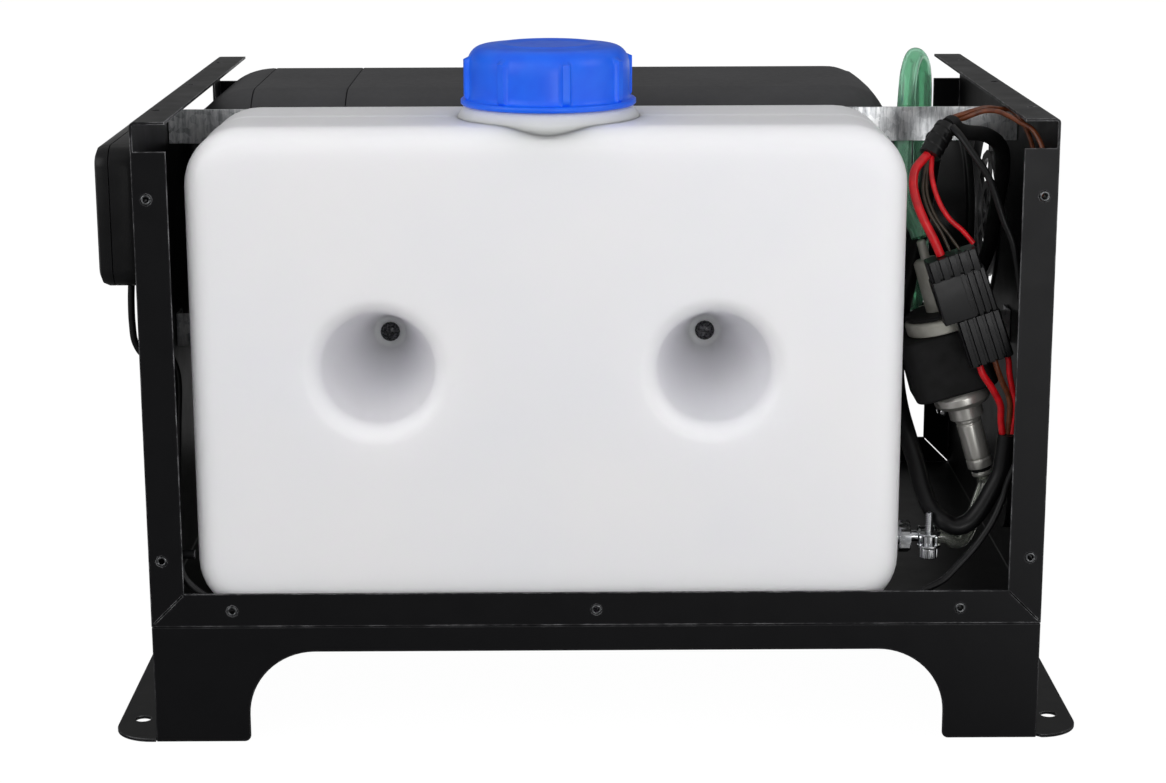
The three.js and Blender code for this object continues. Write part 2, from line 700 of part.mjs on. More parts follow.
function outletBand() {
  const a = hoodSeamX + gap / 2
  const b = bandSeamX - gap / 2
  const skin = loft([heaterSection(a, 0, 0, 0), heaterSection(b, 0, 0, 0)])
  const inside = loft([heaterSection(a - 1, heaterWall, 0, 0), heaterSection(b + 1, heaterWall, 0, 0)])
  return cut(skin, inside)
}
addPart('outlet_band', outletBand(), shellPlastic)

function outletHood() {
  const end = hoodSeamX - gap / 2
  const reach = end - hoodX
  const skin = []
  const inside = []
  for (let i = 3; i >= 0; i--) {
    const angle = (Math.PI / 2) * (i / 3)
    const inset = 18 * (1 - Math.cos(angle))
    const x = end - reach * Math.sin(angle)
    skin.push(heaterSection(x, inset, 0, 0))
    inside.push(heaterSection(Math.max(x, hoodX + heaterWall), inset + heaterWall, 0, 0))
  }
  inside.push(heaterSection(end + 1, heaterWall, 0, 0))
  inside.splice(0, 1)
  const mouth = bar('x', [hoodX - 2, hoodX + 12], heaterY, heaterAxisZ, portRadius - 3, 22)
  return cut(loft(skin), loft(inside), mouth)
}
addPart('outlet_hood', outletHood(), shellPlastic)

function inletNose() {
  const outer = ring(noseRadius - heaterWall, noseRadius, noseX + gap, noseEndX, 24)
  const lip = ring(noseRadius - heaterWall, noseRadius + 1.5, noseEndX - 4, noseEndX, 24)
  return join(outer, lip).rotateY(Math.PI / 2).translate(0, heaterY, heaterAxisZ)
}
addPart('inlet_nose', inletNose(), blackPlastic)

// ---- heat exchanger, burner and blower, all on the heater axis ----
function onHeaterAxis(geometry) {
  return geometry.rotateY(Math.PI / 2).translate(0, heaterY, heaterAxisZ)
}
const exchangerX = [bandSeamX - 32, 10]
const exchangerCore = 38
const finTip = 56
const finCount = 12
const chamberRadius = 30
const fuelInlet = [92, heaterY, cradleTop - 13] // where the green hose meets the heater's fuel pipe
function heatExchanger() {
  const star = new THREE.Shape()
  const half = 0.028 // half the angle that a fin takes at its tip
  for (let i = 0; i < finCount; i++) {
    const middle = (2 * Math.PI * i) / finCount
    const corners = [
      [exchangerCore, middle - Math.PI / finCount], [exchangerCore, middle - 2 * half],
      [finTip, middle - half], [finTip, middle + half], [exchangerCore, middle + 2 * half]
    ]
    for (const [r, angle] of corners) {
      const place = [r * Math.cos(angle), r * Math.sin(angle)]
      if (i === 0 && r === exchangerCore && angle < -2 * half) star.moveTo(...place)
      else star.lineTo(...place)
    }
  }
  const fins = onHeaterAxis(plate(star, exchangerX[1] - exchangerX[0]).translate(0, 0, exchangerX[0]))
  const boreX = [exchangerX[0] + 6, exchangerX[1] + 2]
  const bore = bar('x', boreX, heaterY, heaterAxisZ, chamberRadius + 1.5, 24)
  const footTop = heaterAxisZ - exchangerCore + 4
  const foot = block([-96, 6], [heaterY - 38, heaterY + 38], [heaterBottom, footTop])
  const stubs = pipePlaces.map(([x]) => bar('z', [cradleTop - 20, heaterBottom + 4], x, heaterY, 9, 12))
  const ports = pipePlaces.map(([x]) => bar('z', [cradleTop - 24, heaterAxisZ - 20], x, heaterY, 7, 12))
  const fuelPipe = join(
    bar('z', [fuelInlet[2] - 2.4, heaterBottom + 4], 0, heaterY, 2.4, 12),
    bar('x', [0, fuelInlet[0] - gap], heaterY, fuelInlet[2], 2.4, 12)
  )
  return join(cut(join(fins, foot, ...stubs), bore, ...ports), fuelPipe)
}
addPart('heat_exchanger', heatExchanger(), castAluminium)

function combustionChamber() {
  const profile = [
    [24, -60], [27, -60], [27, 4], [chamberRadius + 16, 4], [chamberRadius + 16, 10], [24, 10], [24, -60]
  ]
  const shift = exchangerX[1] + gap - 4
  const body = onHeaterAxis(turned(profile, 24).translate(0, 0, shift))
  const plugHole = bar('z', [heaterAxisZ + 8, heaterAxisZ + 60], exchangerX[1] + 3, heaterY + 12, 2.6, 12)
  return cut(body, plugHole)
}
addPart('combustion_chamber', combustionChamber(), castAluminium)

function glowPlug() {
  const z = heaterAxisZ
  const x = exchangerX[1] + 3
  const rod = bar('z', [z + 14, z + 52], x, heaterY + 12, 2.2, 12)
  const hex = bar('z', [z + 47, z + 53], x, heaterY + 12, 3.2, 6)
  const pin = bar('z', [z + 52, z + 60], x, heaterY + 12, 1.4, 10)
  return join(rod, hex, pin)
}
addPart('glow_plug', glowPlug(), steel)

const blowerX = [exchangerX[1] + 6 + 2 * gap, 58]
function blowerHousing() {
  const outer = bar('x', blowerX, heaterY, heaterAxisZ, 56, 28)
  const chamber = bar('x', [blowerX[0] - 1, blowerX[0] + 20], heaterY, heaterAxisZ, 44, 24)
  const motorSeat = bar('x', [blowerX[0] + 26, blowerX[1] + 1], heaterY, heaterAxisZ, 21 + gap, 24)
  const shaftHole = bar('x', [blowerX[0], blowerX[1]], heaterY, heaterAxisZ, 5, 16)
  return cut(outer, chamber, motorSeat, shaftHole)
}
addPart('blower_housing', blowerHousing(), castAluminium)

function motor() {
  const body = bar('x', [blowerX[0] + 26 + gap, 92], heaterY, heaterAxisZ, 21, 24)
  const bore = bar('x', [0, 120], heaterY, heaterAxisZ, 3.6, 16)
  return cut(body, bore)
}
addPart('motor', motor(), steel)

const shaftRadius = 3
const shaftX = [blowerX[0] + 2, noseEndX - 8]
addPart('rotor_shaft', bar('x', shaftX, heaterY, heaterAxisZ, shaftRadius, 16), steel)

// A fan: a hub with a bore over the shaft and flat blades set at an angle, cut to a round outline.
function fan(ends, hub, tip, blades, pitch, thickness) {
  const middle = (ends[0] + ends[1]) / 2
  const width = ends[1] - ends[0]
  const pieces = [bar('x', ends, 0, 0, hub, 16)]
  for (let i = 0; i < blades; i++) {
    const blade = new THREE.BoxGeometry(width / Math.cos(pitch), thickness, tip - hub + 3)
    blade.rotateZ(pitch).translate(middle, 0, (tip + hub) / 2)
    pieces.push(blade.rotateX((2 * Math.PI * i) / blades))
  }
  const round = bar('x', ends, 0, 0, tip, 22)
  const bore = bar('x', [ends[0] - 1, ends[1] + 1], 0, 0, shaftRadius + gap, 12)
  return cut(keep(join(...pieces), round), bore).translate(0, heaterY, heaterAxisZ)
}
const heatingTip = noseRadius - heaterWall - 1.5
addPart('heating_fan', fan([noseX + 4, noseEndX - 10], 13, heatingTip, 7, 0.6, 1.6), blackPlastic)
addPart('combustion_fan', fan([blowerX[0] + 5, blowerX[0] + 15], 12, 40, 12, 0, 1.4), castAluminium)

function controlBoard() {
  const z = heaterAxisZ + 56 + gap
  const board = block([22, 112], [heaterY - 32, heaterY + 32], [z, z + 1.6])
  const parts = [
    block([28, 46], [heaterY - 24, heaterY - 4], [z + 1, z + 6]),
    block([60, 100], [heaterY + 8, heaterY + 26], [z + 1, z + 7.5]),
    block([56, 72], [heaterY - 22, heaterY - 10], [z + 1, z + 5])
  ]
  return join(board, ...parts)
}
addPart('control_board', controlBoard(), boardGreen)

// ---- cradle, gasket and the two pipes through the floor ----
function heaterCradle() {
  const y = [heaterY - 62, heaterY + 62]
  const x = [-118, 70]
  const foot = floorTop + gap
  const top = block(x, y, [cradleTop - sheet, cradleTop])
  const wallZ = [foot, cradleTop]
  const walls = [block(x, [y[0], y[0] + sheet], wallZ), block(x, [y[1] - sheet, y[1]], wallZ)]
  const footZ = [foot, foot + sheet]
  const feet = [block(x, [y[0] - 8, y[0] + sheet], footZ), block(x, [y[1] - sheet, y[1] + 8], footZ)]
  const holes = pipePlaces.map(([px]) => bar('z', [cradleTop - 4, cradleTop + 2], px, heaterY, 9 + gap, 12))
  holes.push(bar('z', [cradleTop - 4, cradleTop + 2], 0, heaterY, 2.4 + gap, 12))
  return cut(join(top, ...walls, ...feet), ...holes)
}
addPart('heater_cradle', heaterCradle(), zinc)

const gasket = cut(
  block([-112, 20], [heaterY - 50, heaterY + 50], [cradleTop + gap, heaterBottom - gap]),
  ...pipePlaces.map(([px]) => bar('z', [cradleTop - 4, heaterBottom + 2], px, heaterY, 9 + gap, 12)),
  bar('z', [cradleTop - 4, heaterBottom + 2], 0, heaterY, 2.4 + gap, 12)
)
addPart('base_gasket', gasket, gasketGrey)

function floorPipe(index) {
  const [x, radius] = pipePlaces[index]
  const low = 14
  const high = cradleTop - sheet - gap - 2
  const inner = 9 + gap
  return ring(inner, radius, low, high, 24).translate(x, heaterY, 0)
}
addPart('exhaust_pipe', floorPipe(0), steel)
addPart('intake_pipe', floorPipe(1), blackRubber)

// ---- side panel fittings ----
// A round grille: concentric bars held by spokes, clipped over a panel opening.
function grille(radii, width, spokes) {
  const pieces = [ring(portRadius - 3, portRadius + 5, 0, 2.4, 24)]
  pieces.push(ring(portRadius - 3, portRadius - gap, -sheet - 1, 1, 24))
  for (const r of radii) pieces.push(ring(r - width / 2, r + width / 2, 0, 2.2, 18))
  for (let i = 0; i < spokes; i++) {
    const spoke = new THREE.BoxGeometry(2 * portRadius - 4, 2.4, 2)
    pieces.push(spoke.translate(0, 0, 1.1).rotateZ((Math.PI * i) / spokes))
  }
  return join(...pieces)
}
const guard = grille([15, 30], 4, 3)
addPart(
  'inlet_grille',
  guard.rotateY(Math.PI / 2).translate(halfLength + gap, heaterY, heaterAxisZ),
  blackPlastic
)

// The warm air outlet: a collar with slanted fixed slats.
function outletRing() {
  const pieces = [ring(portRadius - 3, portRadius + 5, 0, 2.4, 24)]
  pieces.push(ring(portRadius - 3, portRadius - gap, -6, 1, 24))
  const slats = []
  for (let i = -3; i <= 3; i++) {
    const slat = new THREE.BoxGeometry(2 * portRadius, 1.6, 5.4).rotateX(0.5)
    slats.push(slat.translate(0, i * 12, -2.3))
  }
  const trimmed = keep(join(...slats), bar('z', [-9, 5], 0, 0, portRadius - 1.7, 24))
  return join(...pieces, trimmed)
}
const turnedRing = outletRing().rotateZ(Math.PI / 2).rotateY(-Math.PI / 2)
addPart('outlet_ring', turnedRing.translate(-halfLength - gap, heaterY, heaterAxisZ), blackPlastic)

function cableGrommet() {
  const lead = leadRadius + gap
  const profile = [
    [lead, -4], [6.5, -4], [6.5, -sheet - gap], [4.6 - gap, -sheet - gap],
    [4.6 - gap, gap], [6.5, gap], [6.5, 2.6], [lead, 3.4], [lead, -4]
  ]
  return turned(profile, 16).rotateY(-Math.PI / 2).translate(-halfLength, grommetPlace[0], grommetPlace[1])
}
addPart('cable_grommet', cableGrommet(), blackRubber)

function powerGland() {
  const profile = [
    [4, -9], [13, -9], [13, -sheet - gap], [9 - gap, -sheet - gap], [9 - gap, gap],
    [17, gap], [17, 3.6], [12.5, 4.6], [12.5, 7.8], [11.3, 9], [4, 9], [4, -9]
  ]
  return turned(profile, 24).rotateY(Math.PI / 2).translate(halfLength, glandPlace[0], glandPlace[1])
}
addPart('power_gland', powerGland(), blackPlastic)

// ---- controller outside the left panel ----
const controllerMidY = frontY + controllerFromFront + controllerLength / 2
const controllerMidZ = controllerTopZ - controllerHeight / 2
const controllerInner = -halfLength - gap
const controllerOuter = controllerInner - controllerDepth
const controllerSeam = controllerInner - 13

// A shell of the controller between two x values; its outer edge is rounded by the bevel.
function controllerShell(from, to, edge) {
  const width = controllerLength - 2 * edge
  const height = controllerHeight - 2 * edge
  const shape = roundedRect(width, height, 9 - edge)
  const depth = Math.abs(to - from)
  const rounding = { bevelThickness: edge, bevelSize: edge, bevelSegments: 2 }
  const settings = { depth: depth - edge, curveSegments: 3, ...rounding }
  const body = new THREE.ExtrudeGeometry(shape, { ...settings, bevelEnabled: true })
  const trimmed = keep(body, block([-200, 200], [-200, 200], [0, depth]))
  return trimmed.rotateX(Math.PI / 2).rotateZ(-Math.PI / 2)
}
const buttonZ = controllerMidZ - 20
const buttonSpacing = 17
const middleButton = (buttonCount - 1) / 2
const buttonYs = Array.from({ length: buttonCount }, (_, i) => {
  return controllerMidY + (i - middleButton) * buttonSpacing
})
const windowSize = [70, 30]
const windowZ = controllerMidZ + 6
const windowDepth = 1.4

function controllerFront() {
  const shell = controllerShell(controllerSeam - gap / 2, controllerOuter, 4)
  shell.translate(controllerSeam - gap / 2, controllerMidY, controllerMidZ)
  const wy = windowSize[0] / 2
  const wz = windowSize[1] / 2
  const screenX = [controllerOuter - 1, controllerOuter + windowDepth]
  const screen = block(screenX, [controllerMidY - wy, controllerMidY + wy], [windowZ - wz, windowZ + wz])
  const holeX = [controllerOuter - 1, controllerOuter + 4]
  const holes = buttonYs.map((y) => bar('x', holeX, y, buttonZ, buttonRadius + gap, 12))
  return cut(shell, screen, ...holes)
}

function controllerBack() {
  const shell = controllerShell(controllerInner, controllerSeam, 3)
  shell.rotateZ(Math.PI)
  shell.translate(controllerSeam + gap / 2, controllerMidY, controllerMidZ)
  return keep(shell, block([controllerSeam + gap / 2, controllerInner], sideToSide, [0, everything + 100]))
}
addPart('controller_front', controllerFront(), blackPlastic)
addPart('controller_back', controllerBack(), blackPlastic)
const screenInset = 0.3
addPart(
  'controller_screen',
  block([controllerOuter + 0.2, controllerOuter + windowDepth - screenInset],
    [controllerMidY - windowSize[0] / 2 + screenInset, controllerMidY + windowSize[0] / 2 - screenInset],
    [windowZ - windowSize[1] / 2 + screenInset, windowZ + windowSize[1] / 2 - screenInset]),
  lcdGrey
)
buttonYs.forEach((y, i) => {
  const ends = [controllerOuter - 0.2, controllerOuter + 4 - gap - buttonTravel]
  addPart(`button_${i + 1}`, bar('x', ends, y, buttonZ, buttonRadius, 16), blackPlastic)
})

// ---- hoses ----
const greenRoute = [
  [pumpTop[0] - 0.3, pumpTop[1], pumpTop[2] + 1.2],
  ...[
    [10.6, 51.2, 225.2], [8.2, 54.8, 230], [5.9, 61, 236.6], [5.6, 71, 243.4], [7.6, 88, 249.4],
    [9.6, 103, 258], [10.6, 106.2, 268], [11.3, 107.4, 280], [12.6, 110.6, 290.6], [16, 118.5, 297],
    [20.2, 126, 293], [21.8, 129, 283], [22, 129, 268], [22, 127.5, 250], [22.5, 125, 228],
    [21, 121, 195], [16.5, 117, 165], [9.5, 118, 143], [1.5, 128, 129]
  ].map(inBay),
  [fuelInlet[0] + 36, 150, fuelInlet[2]],
  [fuelInlet[0] + 24, 174, fuelInlet[2]],
  [fuelInlet[0] + 12, 184, fuelInlet[2]],
  [fuelInlet[0], heaterFromFront, fuelInlet[2]]
]
addPart('fuel_hose_green', hose(greenRoute, greenHoseRadius), greenHose)
const clearRoute = [
  pumpPoint(nippleEnd + gap),
  pumpPoint(nippleEnd + 1.8),
  ...[
    [43.8, 49.2, 103.6], [42, 48, 98.6], [39.8, 46.2, 93.2], [36.8, 43, 87.2], [33, 38, 83],
    [28.5, 33, 83.4], [24.5, 30.3, outletZ - 0.6], [20.5, 30, outletZ]
  ].map(inBay),
  [hoseStart, 30, outletZ]
]
addPart('fuel_hose_clear', hose(clearRoute, clearHoseRadius), clearHose)

// ---- wiring ----
const grommetZ = grommetPlace[1]
const channelZ = floorTop + 2.8 // the lead runs along the floor, between the front flange and the tank
const controllerLead = [
  ...[
    [-9, 40, 205], [-9.5, 40, 196], [-9.5, 40, 186], [-8.6, 40, 177.5], [-5.4, 40, grommetZ],
    [-3, 40, grommetZ], [4, 40, grommetZ], [6.6, 39.6, grommetZ - 0.6], [10.5, 36, 164],
    [11.5, 26, 140], [11.5, 14, 110], [12, 5.6, 96], [13, 4.5, 86], [14.5, 4.5, 78], [19, 4.5, 72],
    [28, 4.2, 65.5], [40, 3.6, 60.5], [55, 3.4, channelZ]
  ].map(atLeft),
  [0, 3.4, channelZ],
  ...[
    [-10.5, 3.4, channelZ], [1.5, 3.4, 62.5], [12.7, 5.5, 69.4], [20.1, 7.5, 72.9], [26.7, 9.5, 79],
    [34.8, 11.5, 87.6], [41.7, 12, 98.3], [46.3, 12.5, 109], [48.4, 12.5, 116.5], [52, 11, 128],
    [54.5, 9.5, 145], [54, 9.5, 185], [51.4, 11, 200], [50.3, 11, 207.1], [49.3, 11, 213.9],
    [46.6, 11.5, 226.4], [42.6, 12.5, 235.9], [35.7, 15.5, 254.7], [28.5, 20.5, 265.6],
    [24, 25.6, 272], [21.6, 30.4, 274.8]
  ].map(inBay)
]
addPart('controller_cable', hose(controllerLead, leadRadius), blackRubber)

const tapeRoute = [[19.8, 38.5, 273.4], [15.9, 34.5, 268.6], [12.2, 31.5, 262.8]]
addPart('harness_tape', hose(tapeRoute.map(inBay), tapeRadius), blackRubber)
const heaterLead = [
  [21.1, 39.8, 275], [22.9, 41.7, 275.4], [26.2, 45, 272], [30.5, 48.5, 270.2], [40.6, 56, 268],
  [49, 66, 261.5], [53, 80, 248], [53.5, 99, 226], [52, 112, 202], [44.5, 129, 181],
  [33.5, 143, 170], [23.9, 151.5, 169.6], [18.4, 155.8, 172.7]
]
addPart('heater_lead', hose(heaterLead.map(inBay), 3.4), blackRubber)

// The brown pair parts where it arches over the lead and meets again behind the front flange.
const brownUpper = [
  [22.6, 50.2, 276], [25, 48.4, 277.2], [28, 47.2, 278.4], [32.6, 47.5, 279.8], [39.1, 50.5, 280.9],
  [46.6, 56.5, 279.6], [53, 59, 278.4], [57.6, 54, 272.4], [59.9, 40, 262], [59.9, 22, 250],
  [59.9, 8, 236], [59.9, 4, 215]
]
const brownLower = [
  [23.4, 50.6, 275], [26, 48.8, 275.7], [29, 46.4, 276.7], [32, 44.2, 278.3], [36.8, 41.5, 280.4],
  [41.9, 36.5, 281], [46.5, 28.5, 279.6], [49.6, 21.5, 278], [54.3, 14.5, 275.4], [58, 9, 267],
  [59.9, 5.4, 250], [59.9, 4, 215], [59.7, 4.6, 160], [57, 14, 146], [54.2, 20, 139.6]
]
const brownPair = [brownUpper, brownLower].map((route) => hose(route.map(inBay), 1.1))
addPart('brown_wires', join(...brownPair), brownWire)

// The red wires leave the tape side by side.
const thickRed = [
  [10.6, 30.9, 262.1], [8.6, 29.9, 260.4], [5.4, 27.8, 256.8], [4, 24.5, 251.2], [5, 21.5, 244.3],
  [8.2, 19.8, 235.9], [12.8, 19.5, 227.1], [16.2, 19.7, 219.9]
]
const thinRed = [
  [12.8, 30.9, 260.7], [12.6, 29.4, 258.8], [12.2, 26.6, 255.4], [12.8, 22.5, 249.9],
  [15.4, 20.5, 242.5], [19.7, 19.6, 235.8], [25.7, 19.5, 230.4], [30.4, 19.6, 225.2]
]
addPart('red_wires', join(hose(thickRed.map(inBay), 2, 3), hose(thinRed.map(inBay), 1.1, 3)), redWire)

// The joined pair of multi-way connectors, ribbed along their length.
const connectorTop = inBay([20.3, 20, 220.2])
const connectorTilt = THREE.MathUtils.degToRad(19)
function ribbedBlock(width, depth, low, high, ribs) {
  const pieces = [block([-width / 2, width / 2], [-depth / 2, depth / 2], [low, high])]
  for (let i = 0; i < ribs; i++) {
    const x = -width / 2 + ((i + 0.5) * width) / ribs
    pieces.push(block([x - 1, x + 1], [-depth / 2 - 0.9, depth / 2], [low, high]))
  }
  return join(...pieces)
}
function alongConnector(geometry) {
  const [x, behindFront, z] = connectorTop
  return geometry.rotateY(-connectorTilt).translate(x, frontY + behindFront, z)
}
const socketWidth = 23
const skirtX = [-12, 12.5]
const skirtStart = 9.3
const skirtEnd = 29.6
const plugX = [-6.6, 13.2]
const connectorLength = 52
const skirt = block(skirtX, [-6.4, 6.4], [-skirtEnd, -skirtStart])
const socket = join(ribbedBlock(socketWidth, 11, -skirtStart - 1, 0, 5), skirt)
addPart('connector_socket', alongConnector(socket), blackPlastic)
const plug = ribbedBlock(plugX[1] - plugX[0], 10.4, -connectorLength, -skirtEnd - gap, 5)
addPart('connector_plug', alongConnector(plug.translate((plugX[0] + plugX[1]) / 2, 0, 0)), blackPlastic)

// The three lower wires come together where the sleeve takes them.
const leftLow = [
  [35.4, 20, 169.2], [36.8, 20, 165.4], [41.2, 21.5, 158.9], [45.9, 23.5, 150.1], [46.6, 25, 143],
  [47.6, 25.4, 136.9]
]
const middleLow = [
  [42, 20, 171.6], [43.2, 20, 168], [45.6, 20.7, 162], [49.2, 22.5, 154.5], [50.3, 23.5, 148.5],
  [50.2, 25, 141], [50.1, 25.4, 136.9]
]
const rightLow = [
  [47.7, 20, 173.5], [48.4, 20, 170.4], [48.9, 20.4, 165.7], [50.6, 21.6, 158.5], [52.6, 23, 151.4],
  [52.8, 24.4, 145], [52.2, 25.2, 140.6], [51.9, 25.4, 136.9]
]
const lowWires = [
  hose(leftLow.map(inBay), 1.6, 2),
  hose(middleLow.map(inBay), 1.3, 2),
  hose(rightLow.map(inBay), 1.4, 2)
]
addPart('low_wires', join(...lowWires), redWire)

const loopRoute = [
  [49.6, 25.5, 136], [48.7, 25.5, 126.3], [47.4, 25.5, 117.9], [43.6, 25.5, 109.5],
  [39, 25.5, 101.1], [33.5, 25.5, 94.6], [27.8, 25.5, 92.7], [22.8, 26.8, 94.8], [17.6, 32, 99.2],
  [14, 38, 107.5], [11.2, 43, 118.7], [8.2, 49.5, 129], [5.8, 63, 140], [5.2, 76, 152],
  [6, 80.5, 170], [9.8, 78.5, 195], [13.5, 75, 215], [15.5, 65, 240], [16.2, 57, 255],
  [16.1, 50, 264], [15.7, 43.2, 268]
]
addPart('harness_loop', hose(loopRoute.map(inBay), loopRadius), blackRubber)

export default group
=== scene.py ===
# An all-in-one diesel air heater with its outer cover off: looks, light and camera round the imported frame.
# Tables are in millimetres. A point of a hose or wire is x, the distance behind the case front, and z.
import math

import bmesh
import bpy
import numpy as np
from mathutils import Matrix, Vector


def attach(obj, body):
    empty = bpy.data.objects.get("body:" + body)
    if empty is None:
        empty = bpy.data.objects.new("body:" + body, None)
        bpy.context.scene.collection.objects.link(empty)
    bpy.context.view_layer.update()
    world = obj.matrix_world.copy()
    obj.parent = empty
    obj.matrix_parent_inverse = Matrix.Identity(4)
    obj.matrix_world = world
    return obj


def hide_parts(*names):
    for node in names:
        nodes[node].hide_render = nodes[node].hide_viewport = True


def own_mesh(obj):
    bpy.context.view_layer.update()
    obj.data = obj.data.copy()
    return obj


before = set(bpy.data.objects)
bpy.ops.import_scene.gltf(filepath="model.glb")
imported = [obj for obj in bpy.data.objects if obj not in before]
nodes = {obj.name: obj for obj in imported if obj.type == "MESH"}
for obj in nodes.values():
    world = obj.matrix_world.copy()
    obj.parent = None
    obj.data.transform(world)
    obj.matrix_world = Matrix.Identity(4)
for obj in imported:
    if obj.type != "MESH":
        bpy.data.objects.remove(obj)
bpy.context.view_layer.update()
print("frame loaded:", len(nodes), "nodes")

mm = 0.001
frontY = -138.5  # the case front in the frame
weldWithin = {"grid": 0.001, "node": 0.002}  # points nearer to each other than this become one
materials = {}


# small tools
def linearColour(text):
    # sRGB hex to linear, with full alpha: a straight line for dark values and a power curve above it
    values = np.array([int(text[i : i + 2], 16) for i in (1, 3, 5)]) / 255
    straight = values / 12.92
    curved = ((values + 0.055) / 1.055) ** 2.4
    return (*np.where(values <= 0.04045, straight, curved).tolist(), 1.0)


def addNode(tree, kind, settings=None, links=None):
    # adds a shader node; a link value that is a socket is joined, any other is set on the input
    node = tree.nodes.new("ShaderNode" + kind)
    for key, value in (settings or {}).items():
        setattr(node, key, value)
    for key, value in (links or {}).items():
        if isinstance(value, bpy.types.NodeSocket):
            tree.links.new(value, node.inputs[key])
        else:
            node.inputs[key].default_value = value
    return node


def gridFaces(rows, cols, closeRows=False, closeCols=False):
    # quads between neighbours of a rows by cols grid of points, wrapped round where asked
    r = np.arange(rows if closeRows else rows - 1)
    c = np.arange(cols if closeCols else cols - 1)
    rr, cc = (a.ravel() for a in np.meshgrid(r, c, indexing="ij"))
    nextR, nextC = (rr + 1) % rows, (cc + 1) % cols
    return np.stack([rr * cols + cc, rr * cols + nextC, nextR * cols + nextC, nextR * cols + cc], axis=1)


def joinGrids(*grids):
    # several (points, faces) pairs as one pair
    points, faces, start = [], [], 0
    for somePoints, someFaces in grids:
        points.append(np.asarray(somePoints, float).reshape(-1, 3))
        faces.append(np.asarray(someFaces) + start)
        start += len(points[-1])
    return np.concatenate(points), np.concatenate(faces)


def makePiece(name, grid, material, body="case", nodesReplaced=(), sharp=38):
    # a finished piece from points in millimetres: doubles merged and faces turned outwards
    points, faces = grid
    mesh = bpy.data.meshes.new(name)
    mesh.from_pydata((np.asarray(points, float).reshape(-1, 3) * mm).tolist(), [], np.asarray(faces).tolist())
    shape = bmesh.new()
    shape.from_mesh(mesh)
    bmesh.ops.remove_doubles(shape, verts=shape.verts, dist=weldWithin["grid"] * mm)
    bmesh.ops.recalc_face_normals(shape, faces=shape.faces)
    shape.to_mesh(mesh)
    shape.free()
    return placePiece(name, mesh, material, body, nodesReplaced, sharp)


def placePiece(name, mesh, material, body, nodesReplaced, sharp):
    # smooth up to the sharp angle, in its material, moving with its body and standing in for its nodes
    mesh.shade_smooth()
    mesh.set_sharp_from_angle(angle=math.radians(sharp))
    piece = bpy.data.objects.new(name, mesh)
    bpy.context.scene.collection.objects.link(piece)
    mesh.materials.clear()
    mesh.materials.append(materials[material])
    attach(piece, body)
    if nodesReplaced:
        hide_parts(*nodesReplaced)
    return piece


def softened(node, name, material, width=0.35, body="case", segments=2, angle=30, sharp=38):
    # a copy of a node with its doubles merged, flat faces joined up and its corners rounded by width
    mesh = nodes[node].data.copy()
    mesh.name = name
    if mesh.has_custom_normals:
        mesh.attributes.remove(mesh.attributes["custom_normal"])
    shape = bmesh.new()
    shape.from_mesh(mesh)
    bmesh.ops.remove_doubles(shape, verts=shape.verts, dist=weldWithin["node"] * mm)
    bmesh.ops.dissolve_limit(shape, angle_limit=math.radians(1), verts=shape.verts, edges=shape.edges)
    shape.to_mesh(mesh)
    shape.free()
    piece = placePiece(name, mesh, material, body, (node,), sharp)
    bevel = piece.modifiers.new("corners", "BEVEL")
    bevel.width = width * mm
    bevel.segments = segments
    bevel.limit_method = "ANGLE"
    bevel.angle_limit = math.radians(angle)
    bevel.harden_normals = True
    return piece


def squareTo(direction):
    # the direction at length 1 and two unit vectors square to it and to each other
    direction = np.asarray(direction, float)
    direction = direction / np.linalg.norm(direction)
    helper = np.array([0, 0, 1.0]) if abs(direction[2]) < 0.9 else np.array([0, 1.0, 0])
    side = np.cross(helper, direction)
    side /= np.linalg.norm(side)
    return direction, side, np.cross(direction, side)


def turnedShape(profile, origin, direction, sides=64, wave=None):
    # a turned shape: each profile point (radius, height) goes round the axis through origin; wave changes the
    # radius with the angle. A profile that does not end on the axis is closed into a ring.
    profile = np.asarray(profile, float)
    along, u, v = squareTo(direction)
    angle = np.linspace(0, 2 * math.pi, sides, endpoint=False)
    radius = np.repeat(profile[:, :1], sides, axis=1)
    height = np.repeat(profile[:, 1:2], sides, axis=1)
    if wave is not None:
        radius = wave(radius, height, angle[None, :])
    circle = np.cos(angle)[None, :, None] * u + np.sin(angle)[None, :, None] * v
    points = np.asarray(origin, float) + height[..., None] * along + radius[..., None] * circle
    closed = profile[0, 0] > 1e-6 and profile[-1, 0] > 1e-6
    return points.reshape(-1, 3), gridFaces(len(profile), sides, closeRows=closed, closeCols=True)


def rounded(profile, radius, steps=4):
    # the profile with each inner corner cut by a quadratic curve between two points near it, at most the
    # radius and less than half a side away from it
    profile = [np.asarray(p, float) for p in profile]
    result = [profile[0]]
    for before, corner, after in zip(profile, profile[1:], profile[2:]):
        reachA = min(radius, np.linalg.norm(before - corner) * 0.45)
        reachB = min(radius, np.linalg.norm(after - corner) * 0.45)
        start = corner + (before - corner) / max(np.linalg.norm(before - corner), 1e-9) * reachA
        end = corner + (after - corner) / max(np.linalg.norm(after - corner), 1e-9) * reachB
        for t in np.linspace(0, 1, steps + 1):
            result.append((1 - t) ** 2 * start + 2 * t * (1 - t) * corner + t**2 * end)
    result.append(profile[-1])
    return np.array(result)


def turnedSoft(profile, radius, origin, direction, sides=64, wave=None):
    # a turned shape whose profile has its corners rounded first
    return turnedShape(rounded(profile, radius), origin, direction, sides, wave)


def between(t, first, last, a, b):
    # the straight way from a, where t is first, to b, where t is last
    return (last - t) / (last - first) * a + (t - first) / (last - first) * b


